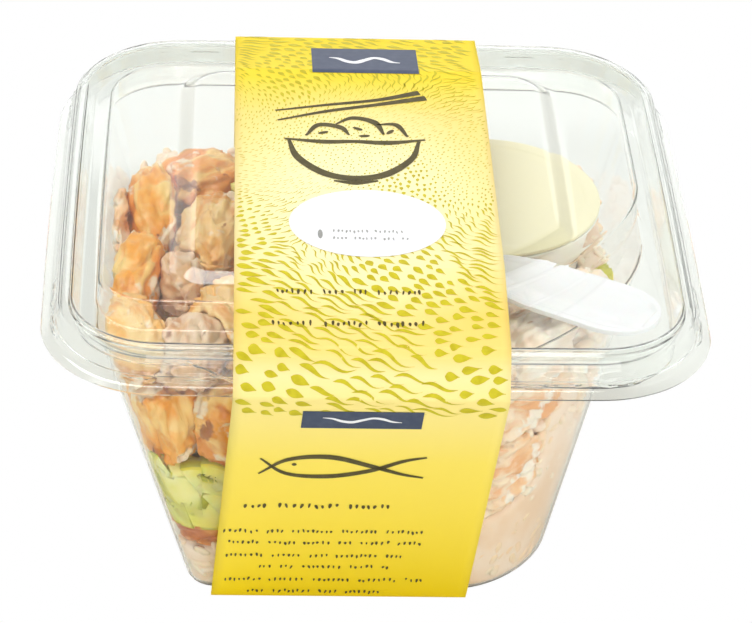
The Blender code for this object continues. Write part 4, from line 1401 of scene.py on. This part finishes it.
def add_rice(grain_finish, bed_finish):
    """Rice: a lumpy bed in the solid's own shape, with grains on all its sides, flat against the tub."""
    bed, points, normals = fine_copy("rice", "rice_bed", bed_finish, RICE_VOXEL, RICE_SMOOTHING)
    moved = np.array([BED_SWELL + BED_LUMP * noise.noise(Vector(point) * BED_LUMP_PACE) for point in points])
    moved[points[:, 2] < (RIM_Z + BED_LOW) * MM] += BED_LOW_SWELL
    reach = wall_reach(FOOD_ROOM + BED_ROOM)
    move_points(bed.data, kept_inside(points + normals * (moved * MM)[:, None], reach))
    keep(bed, ["rice"])
    places, looks = spread_on(NODES["rice"].data, RICE_SPACING * MM, 3)
    rng = np.random.default_rng(8)
    shapes = []
    kinds = [grain_shape(*sizes) for sizes in GRAIN_SIZES]
    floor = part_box("rice")[0].z + GRAIN_OFF_FLOOR * MM
    for place, normal in zip(places, looks):
        if normal[2] < GRAIN_LOWEST_LOOK or place[2] < floor:
            continue
        axes = frame_on(normal, rng.random() * math.pi)
        axes = np.array(Matrix.Rotation(rng.normal(0, LEAN), 3, Vector(axes[:, 1]))) @ axes
        points, faces = kinds[rng.integers(3)]
        size = at_random(GRAIN_SIZE, rng)
        if normal[2] < WALL_LOOK and rng.random() > WALL_GRAINS:
            continue
        sunk = at_random(GRAIN_SUNK, rng) * MM
        grain = kept_inside(points * size @ axes.T + place - normal * sunk, WALL_REACH)
        shapes.append((grain, faces, [0] * len(faces)))
    keep(joined("rice_grains", shapes, [grain_finish]), [])


# Cut cucumber: rings of a piece from its point to its skin, steps across it, and how round its edges are
CUCUMBER_RINGS = (0.06, 0.45, 0.78, 0.93, 1.0)
CUCUMBER_STEPS = 8
CUCUMBER_EDGE = 0.35
# How far out from a piece's middle its point lies, as a share of its radius
CUCUMBER_CENTRE = 0.55
FLESH, RIND, SKIN = 0, 1, 2


def cucumber_shape(radius, thick, spread):
    """Cut piece of cucumber: part of a round slice, with skin on its outer side."""
    across, rings = CUCUMBER_STEPS, len(CUCUMBER_RINGS)
    points = []
    for side in (1, -1):
        for row, share in enumerate(CUCUMBER_RINGS):
            for step in range(across + 1):
                angle = spread * (step / across - 0.5)
                edge = row in (0, rings - 1) or step in (0, across)
                x = share * radius * math.cos(angle) - radius * CUCUMBER_CENTRE
                y = share * radius * math.sin(angle)
                points.append((x, y, side * (thick / 2 - (CUCUMBER_EDGE if edge else 0))))
    count = across + 1
    half = rings * count
    faces, numbers = [], []
    for row in range(rings - 1):
        number = RIND if row == rings - 2 else FLESH
        for a in range(row * count, row * count + across):
            faces.append((a, a + count, a + count + 1, a + 1))
            faces.append((a + half, a + half + 1, a + half + count + 1, a + half + count))
            numbers += [number, number]
    outer = (rings - 1) * count
    for step in range(across):
        faces.append((outer + step, outer + half + step, outer + half + step + 1, outer + step + 1))
        faces.append((step + 1, half + step + 1, half + step, step))
        numbers += [SKIN, FLESH]
    for a in range(0, outer, count):
        b = a + across
        faces.append((a, a + half, a + half + count, a + count))
        faces.append((b + count, b + half + count, b + half, b))
        numbers += [FLESH, FLESH]
    return np.array(points) * MM, faces, numbers


CUCUMBER_SPACING = 5.0
CUCUMBER_VOXEL = 1.4
CUCUMBER_SMOOTHING = 6
# How far the core lies inside the heap, how deep its pieces sit, and how far they keep from its top and foot
CORE_IN = 1.5
CUCUMBER_SUNK = 2.8
CUCUMBER_END = 4.5
# Least radius, thickness and spread of a piece, each with how much more it may be, and the share on edge
PIECE_SIZES = ((5.5, 2), (3.6, 1), (1.3, 0.5))
ON_EDGE = 0.3
# Pieces flat on the front wall: x, height, way that their skin faces in degrees, radius, spread and thickness
WALL_PIECES = (
    (-43.5, -47.5, 215, 12.0, 1.7, 5.0), (-39.6, -43.5, 95, 10.0, 0.55, 4.5),
    (-34.0, -43.0, 55, 9.0, 1.5, 5.0), (-33.0, -50.5, -25, 10.0, 1.3, 4.5),
    (-38.0, -54.5, 262, 12.0, 1.6, 5.0), (-49.0, -41.5, 150, 8.0, 1.1, 4.0),
    (-44.5, -55.0, 240, 9.0, 1.3, 4.0),
)
# Two slices of each single piece: how far along it and how far turned, and their radius, thickness and spread
SLICES = ((-2.6, 0.2), (2.6, -0.5))
SLICE_SIZE = (5.2, 3.4, 1.4)


def front_wall_y(low):
    """y of the tub's front wall at a height, in the middle."""
    share = (MOUTH_LOW - low) / (TUB_DEPTH + MOUTH_LOW)
    return -RIM_HALF + MOUTH_INSET[2] + (BASE_INSET[2] - MOUTH_INSET[2]) * share


def placed_piece(size, axes, centre):
    """Cut piece of cucumber with its axes and centre, inside the tub."""
    points, faces, numbers = cucumber_shape(*size)
    return kept_inside(points @ axes.T + centre, WALL_REACH), faces, numbers


def add_cucumber(flesh, rind, skin):
    """Cut cucumber: a plain core in the heap's own shape under cut pieces, some flat on the front wall."""
    core, points, normals = fine_copy("greens", "cucumber_core", rind, CUCUMBER_VOXEL, CUCUMBER_SMOOTHING)
    move_points(core.data, kept_inside(points - normals * CORE_IN * MM, WALL_REACH))
    keep(core, ["greens"])
    rng = np.random.default_rng(21)
    shapes = []
    low_end, high_end = (corner.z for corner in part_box("greens"))
    places, looks = spread_on(NODES["greens"].data, CUCUMBER_SPACING * MM, 4)
    for place, normal in zip(places, looks):
        height = np.clip(place[2], low_end + CUCUMBER_END * MM, high_end - CUCUMBER_END * MM)
        size = [at_random(span, rng) for span in PIECE_SIZES]
        axes = frame_on(normal, rng.random() * 2 * math.pi)
        if rng.random() < ON_EDGE:
            axes = axes[:, [2, 0, 1]]
        lean = Matrix.Rotation(rng.normal(0, LEAN), 3, Vector((1, 0, 0)))
        centre = np.array([place[0], place[1], height]) - normal * CUCUMBER_SUNK * MM
        shapes.append(placed_piece(size, axes @ np.array(lean), centre))
    out = np.array([0, -1.0, 0])
    for x, low, way, radius, spread, thick in WALL_PIECES:
        skinward = np.array([math.cos(math.radians(way)), 0, math.sin(math.radians(way))])
        axes = np.stack([skinward, np.cross(out, skinward), out], 1)
        centre = np.array([x, front_wall_y(low) + thick / 2, RIM_Z + low]) * MM
        shapes.append(placed_piece((radius, thick, spread), axes, centre))
    keep(joined("cucumber_pieces", shapes, [flesh, rind, skin]), [])
    for node in ("top_green", "right_green"):
        middle, axes = own_axes(coordinates(NODES[node].data))
        shapes = []
        for shift, turn in SLICES:
            spun = axes @ np.array(Matrix.Rotation(turn, 3, "Z"))
            shapes.append(placed_piece(SLICE_SIZE, spun, middle + axes[:, 0] * shift * MM))
        keep(joined(node + "_slices", shapes, [flesh, rind, skin]), [node])


# Materials of the card, plastics and food

# Card's colours from the back over the top to the front's foot, by y and height from the shoulder together
CARD_BACK = 70.0
CARD_FRONT = -125.0
CARD_COLOURS = (
    (0.0, (242, 214, 0)), (0.11, (246, 218, 48)), (0.20, (249, 223, 128)), (0.34, (250, 224, 140)),
    (0.52, (250, 228, 152)), (0.63, (244, 212, 108)), (0.70, (246, 218, 124)), (0.735, (252, 234, 164)),
    (0.84, (251, 226, 96)), (1.0, (248, 216, 0)),
)
# Paler middle of the top: colour, shift and scale of the round patch that it is, and how soon it is full
CARD_PALE = (254, 246, 190)
PALE_SHIFT = (0.1, 0.31, -2.0)
PALE_SCALE = (1 / 0.04, 1 / 0.058, 1 / 0.044)
PALE_FULL = 0.75


def card_finish():
    """Coated yellow card, deeper towards its back and foot, and paler in the middle of the top."""
    made = finish("yellow_card", srgb(250, 230, 110), 0.45, Specular_IOR_Level=0.2)
    tree = made.node_tree
    place = add_node(tree, "TexCoord").outputs["Object"]
    split = add_node(tree, "SeparateXYZ", {0: place}).outputs
    feeds = {"Value": math_of(tree, "ADD", split["Y"], split["Z"]),
             "From Min": (RIM_Z + CARD_BACK) * MM, "From Max": (RIM_Z + CARD_FRONT) * MM}
    way_down = add_node(tree, "MapRange", feeds).outputs["Result"]
    colours = add_node(tree, "ValToRGB", {"Fac": way_down})
    stops = colours.color_ramp.elements
    while len(stops) < len(CARD_COLOURS):
        stops.new(0.5)
    for stop, (at, colour) in zip(stops, CARD_COLOURS):
        stop.position = at
        stop.color = (*srgb(*colour), 1)
    shifted = add_node(tree, "Mapping", {"Vector": place, "Location": PALE_SHIFT, "Scale": PALE_SCALE})
    patch = add_node(tree, "TexGradient", {"Vector": shifted.outputs["Vector"]}, gradient_type="SPHERICAL")
    pale = eased(tree, patch.outputs["Fac"], 0.0, PALE_FULL)
    colour_from(made, blend(made, pale, colours.outputs["Color"], srgb(*CARD_PALE)))
    bump_from(made, effect(made, MOTTLE, Scale=900.0, Detail=2.0, Low=0.2, High=0.8), 0.1, 0.02)
    return made


def ink_finish(name, colour, roughness, lighter):
    """Printed colour, slightly uneven."""
    made = finish(name, srgb(*colour), roughness, Specular_IOR_Level=0.2)
    uneven = effect(made, MOTTLE, Scale=500.0, Detail=2.0, Low=0.35, High=0.75)
    colour_from(made, blend(made, uneven, srgb(*colour), srgb(*lighter)))
    return made


# Each salmon's colours (lean, light, deep, fat and brown), and where its brown patches start
SALMON_LOOKS = {
    "salmon_flesh": (
        (250, 166, 40), (254, 212, 128), (232, 138, 26), (252, 236, 208), (160, 88, 38), 0.62),
    "peach_salmon_flesh": (
        (246, 184, 92), (250, 214, 150), (228, 150, 64), (250, 232, 205), (160, 88, 38), 0.68),
    "pale_salmon_flesh": (
        (248, 196, 142), (252, 226, 194), (236, 164, 94), (255, 246, 230), (206, 144, 84), 0.64),
    "pale_cream_salmon_flesh": (
        (252, 226, 198), (254, 240, 222), (246, 200, 154), (255, 248, 236), (206, 144, 84), 0.70),
    "grey_salmon_flesh": (
        (228, 178, 124), (238, 210, 178), (196, 128, 72), (244, 224, 200), (136, 84, 48), 0.60),
    "red_salmon_flesh": (
        (190, 92, 0), (220, 140, 46), (168, 72, 0), (226, 168, 110), (150, 76, 34), 0.66),
}
BROWN_EDGE = 0.05
# Flakes that aren't of the plain salmon flesh
FLAKES_OF = {
    "pale_salmon_flesh": ("pale_flake", "right_front_chunk", "right_low_chunk", "low_side_strip"),
    "pale_cream_salmon_flesh": ("right_flake", "right_chunk"),
    "peach_salmon_flesh": (
        "band_left_flake", "band_flake", "band_rear_flake", "middle_flake", "left_rear_chunk", "front_flake"),
    "grey_salmon_flesh": ("grey_flake", "dark_flake"),
    "red_salmon_flesh": ("low_strip",),
}
FLAKE_SEED_STEP = 3.1


def salmon_finish(name):
    """Hot smoked salmon: flesh with paler clouds, deeper and creamy streaks, white fat and brown patches."""
    *colours, brown_low = SALMON_LOOKS[name]
    lean, light, deep, fat, brown = (srgb(*colour) for colour in colours)
    made = finish(name, lean, 0.38, Subsurface_Weight=0.15, Subsurface_Radius=(0.9, 0.4, 0.15),
                  Subsurface_Scale=0.002, Specular_IOR_Level=0.5, Coat_Weight=0.1, Coat_Roughness=0.2)
    cloud = effect(made, MOTTLE, Scale=95.0, Detail=4.0, Low=0.44, High=0.60)
    deeper = effect(made, FIBRE, Scale=150.0, Stretch=0.4, Low=0.50, High=0.64, Seed=2.0)
    streak = effect(made, FIBRE, Scale=240.0, Stretch=0.25, Low=0.50, High=0.64, Seed=5.0)
    curd = effect(made, MOTTLE, Scale=120.0, Detail=5.0, Low=0.57, High=0.63, Seed=7.0)
    brown_high = brown_low + BROWN_EDGE
    browned = effect(made, MOTTLE, Scale=120.0, Detail=4.0, Low=brown_low, High=brown_high, Seed=4.0)
    specks = effect(made, MOTTLE, Scale=420.0, Detail=2.0, Low=0.70, High=0.74, Seed=9.0)
    colour = blend(made, cloud, lean, light)
    for mask, over, share in ((deeper, deep, 0.85), (streak, light, 0.75), (curd, fat, 0.85),
                              (browned, brown, 0.85), (specks, brown, 0.7)):
        colour = blend(made, mask, colour, over, share)
    colour_from(made, colour)
    bump_from(made, streak, 0.4, 0.3)
    return made


def plain_food(name, colour, other, roughness, scale, **plain):
    """Moist food of two near colours."""
    made = finish(name, srgb(*colour), roughness, Subsurface_Scale=0.002, Coat_Weight=0.1, Coat_Roughness=0.2,
                  **plain)
    patches = effect(made, MOTTLE, Scale=scale, Detail=3.0, Low=0.35, High=0.68)
    colour_from(made, blend(made, patches, srgb(*colour), srgb(*other)))
    bump_from(made, effect(made, MOTTLE, Scale=scale * 5, Detail=3.0, Low=0.2, High=0.8), 0.25, 0.2)
    return made


def white_plastic(name, colour, roughness):
    """Smooth moulded plastic with faint unevenness."""
    made = finish(name, srgb(*colour), roughness, Subsurface_Weight=0.1, Subsurface_Scale=0.001)
    bump_from(made, effect(made, MOTTLE, Scale=120.0, Detail=1.0, Low=0.2, High=0.8), 0.15, 0.05)
    return made


def add_food():
    """All the food in the tub."""
    fleshes = {name: salmon_finish(name) for name in SALMON_LOOKS}
    flakes = sorted(name for name in NODES if name.endswith(("_flake", "_chunk", "_strip")))
    for index, node in enumerate(flakes):
        name = next((name for name, nodes in FLAKES_OF.items() if node in nodes), "salmon_flesh")
        add_flake(node, fleshes[name], FLAKE_SEED_STEP * index)
    add_rice(plain_food("rice_grain", (253, 232, 206), (248, 210, 168), 0.4, 60.0, Subsurface_Weight=0.25),
             plain_food("rice_bed_finish", (249, 226, 202), (240, 204, 166), 0.5, 75.0))
    flesh = plain_food("cucumber_flesh", (248, 236, 150), (232, 220, 60), 0.25, 75.0, Subsurface_Weight=0.3)
    rind = plain_food("cucumber_rind", (228, 212, 10), (208, 198, 0), 0.3, 200.0, Subsurface_Weight=0.2)
    add_cucumber(flesh, rind, plain_food("cucumber_skin", (196, 190, 0), (166, 168, 0), 0.3, 150.0))


# Camera, light and floor

def add_camera():
    """Camera at the photograph's place and angle."""
    cy, sy = math.cos(CAMERA_YAW), math.sin(CAMERA_YAW)
    cp, sp = math.cos(CAMERA_PITCH), math.sin(CAMERA_PITCH)
    ahead = Vector((sy * cp, cy * cp, sp))
    level = Vector((cy, -sy, 0))
    upright = level.cross(ahead)
    c, s = math.cos(CAMERA_ROLL), math.sin(CAMERA_ROLL)
    right, up = level * c + upright * s, upright * c - level * s
    data = bpy.data.cameras.new("camera")
    data.lens = CAMERA_LENS
    data.sensor_fit = "HORIZONTAL"
    data.clip_start, data.clip_end = 0.01, 50
    camera = link("camera", data)
    turn = Matrix((right, up, -ahead)).transposed().to_4x4()
    x, y, z = CAMERA_AT
    camera.matrix_world = Matrix.Translation(Vector((x, y, z + RIM_Z)) * MM) @ turn
    bpy.context.scene.camera = camera


def add_area(name, place, target, size, power):
    """Soft square light aimed at a point, unseen by the camera itself."""
    data = bpy.data.lights.new(name, "AREA")
    data.shape = "RECTANGLE"
    data.size, data.size_y = size
    data.energy = power
    light = link(name, data)
    light.location = place
    light.rotation_euler = (Vector(target) - Vector(place)).to_track_quat("-Z", "Y").to_euler()
    light.visible_camera = False
    light.visible_transmission = False


# Brightness of the surround, and what each part of it adds or takes away
SURROUND = 0.505
OVERHEAD = 6.6
BACK_PANEL = 1.04
RIGHT_PANEL = 0.7
RIGHT_SIDE = 0.4
BACK_DARK = 0.22
FRONT_DARK = 0.16
# Edges of those parts, as shares of a direction: across to the right, ahead, up, or a mix of two of them
BEHIND_AHEAD = (0.3, 0.6)
BEHIND_RIGHT_EDGE = (0.42, 0.55)
BEHIND_LEFT_EDGE = (-0.55, -0.42)
PANEL_SLANT = 0.12
PANEL_TOP = (0.500, 0.512)
PANEL_FOOT = (0.02, 0.1)
ABOVE_TOP = (0.62, 0.75)
RIGHT_PANEL_EDGE = (0.045, 0.10)
STRIP_SLANT = 0.9
STRIP_NEAR = (-0.45, -0.39)
STRIP_FAR = (-0.14, -0.08)
STRIP_UP = (0.60, 0.66)
STRIP_RIGHT_EDGE = (0.1, 0.18)
BEFORE = (-0.2, -0.7)
DARK_TOP = (0.35, 0.05)
RIGHT_SIDE_EDGE = (0.35, 0.8)


def add_world():
    """White surround with a slanting strip overhead, panels behind and a darker part low down in front."""
    world = bpy.data.worlds.new("studio")
    bpy.context.scene.world = world
    world.use_nodes = True
    tree = world.node_tree
    direction = add_node(tree, "TexCoord").outputs["Generated"]
    across, ahead, up = add_node(tree, "SeparateXYZ", {0: direction}).outputs

    def rises(value, edge):
        return eased(tree, value, *edge)

    def falls(value, edge):
        return eased(tree, value, *edge, 1, 0)

    def both(first, *others):
        for other in others:
            first = math_of(tree, "MULTIPLY", first, other)
        return first

    behind = both(rises(ahead, BEHIND_AHEAD), falls(across, BEHIND_RIGHT_EDGE),
                  rises(across, BEHIND_LEFT_EDGE))
    slant = math_of(tree, "ADD", up, both(across, PANEL_SLANT))
    panel = both(falls(slant, PANEL_TOP), rises(up, PANEL_FOOT), behind)
    above = both(rises(slant, PANEL_TOP), falls(up, ABOVE_TOP), behind)
    right = both(above, rises(across, RIGHT_PANEL_EDGE))
    strip = math_of(tree, "ADD", both(across, STRIP_SLANT), ahead)
    overhead = both(rises(strip, STRIP_NEAR), falls(strip, STRIP_FAR),
                    both(rises(up, STRIP_UP), falls(across, STRIP_RIGHT_EDGE)))
    dark = both(rises(ahead, BEFORE), rises(up, DARK_TOP))
    bright = SURROUND
    for part, share in ((overhead, OVERHEAD), (panel, BACK_PANEL), (right, RIGHT_PANEL), (above, -BACK_DARK),
                        (rises(across, RIGHT_SIDE_EDGE), RIGHT_SIDE), (dark, -FRONT_DARK)):
        bright = math_of(tree, "ADD", both(part, share), bright)
    background = tree.nodes["Background"]
    feed(tree, background.inputs["Strength"], bright)
    feed(tree, background.inputs["Color"], (1, 1, 1))


FLOOR_SEEN = (0.74, 0.76, 0.73)
FLOOR_HALF = 3000
BOUNCES = 16
CLEAR_BOUNCES = 24
# Soft lights: place, what they aim at, size, and power
FILL_LIGHT = ((0.9, -0.5, 0.7), (0, 0, 0.04), (0.8, 0.8), 1.8)
FRONT_LIGHT = ((0.15, -1.6, 0.22), (0, 0, 0.05), (1.2, 0.4), 6.1)


def white_floor():
    """Floor that the camera sees as pure white, and that is lit like other things where the pack shows it."""
    made = finish("white_floor", FLOOR_SEEN, 0.6)
    seen = add_node(made.node_tree, "LightPath").outputs["Is Camera Ray"]
    mix_in(made, seen, add_node(made.node_tree, "Emission").outputs["Emission"])
    return made


def add_studio():
    """Floor, surround and two soft lights."""
    scene = bpy.context.scene
    scene.view_settings.view_transform = "Standard"
    scene.cycles.max_bounces = BOUNCES
    scene.cycles.transmission_bounces = BOUNCES
    scene.cycles.transparent_max_bounces = CLEAR_BOUNCES
    add_world()
    add_area("fill_light", *FILL_LIGHT)
    add_area("front_light", *FRONT_LIGHT)
    corners = [(x * FLOOR_HALF, y * FLOOR_HALF, 0) for x, y in ((-1, -1), (1, -1), (1, 1), (-1, 1))]
    floor = mesh_of("floor", corners, [(0, 1, 2, 3)], [white_floor()], smooth=False)


def build():
    """Make every piece of the pack, then the studio."""
    add_camera()
    # The lid's second colour is painted shade on the sloping walls of its raised top; the tub's second colour
    # is the same as its tint.
    add_lid(clear_plastic("clear_lid_sheet", tint=(0.965, 0.98, 0.965), painted_slope_shade=(0.84, 0.845, 0.80),
                          roughness=0.02, bend=1.15, gloss=0.8, wave=0.04))
    add_tub(clear_plastic("clear_tub_sheet", tint=CLEAR_SHADE, painted_slope_shade=CLEAR_SHADE,
                          roughness=0.03, bend=1.10, gloss=0.3, wave=0.05))
    add_band(card_finish())
    add_seeds(ink_finish("olive_ink", (208, 194, 36), 0.45, (190, 174, 22)))
    add_drawing(ink_finish("dark_ink", (78, 70, 38), 0.4, (95, 86, 50)))
    add_labels(ink_finish("navy_ink", (62, 72, 96), 0.35, (72, 82, 104)),
               ink_finish("white_ink", (241, 241, 242), 0.4, (237, 237, 241)),
               ink_finish("grey_ink", (150, 150, 146), 0.4, (170, 170, 166)))
    add_spoon(white_plastic("spoon_plastic", (240, 240, 242), 0.25))
    cup = white_plastic("pot_plastic", (250, 248, 236), 0.3)
    film = finish("pot_film_sheet", srgb(255, 248, 206), 0.3,
                  IOR=1.45, Metallic=0.0, Transmission_Weight=0.15)
    dressing = plain_food("dressing_cream", (250, 240, 180), (246, 232, 156), 0.3, 60.0,
                          Subsurface_Weight=0.2)
    add_pot(cup, film, dressing)
    add_food()
    add_studio()


build()
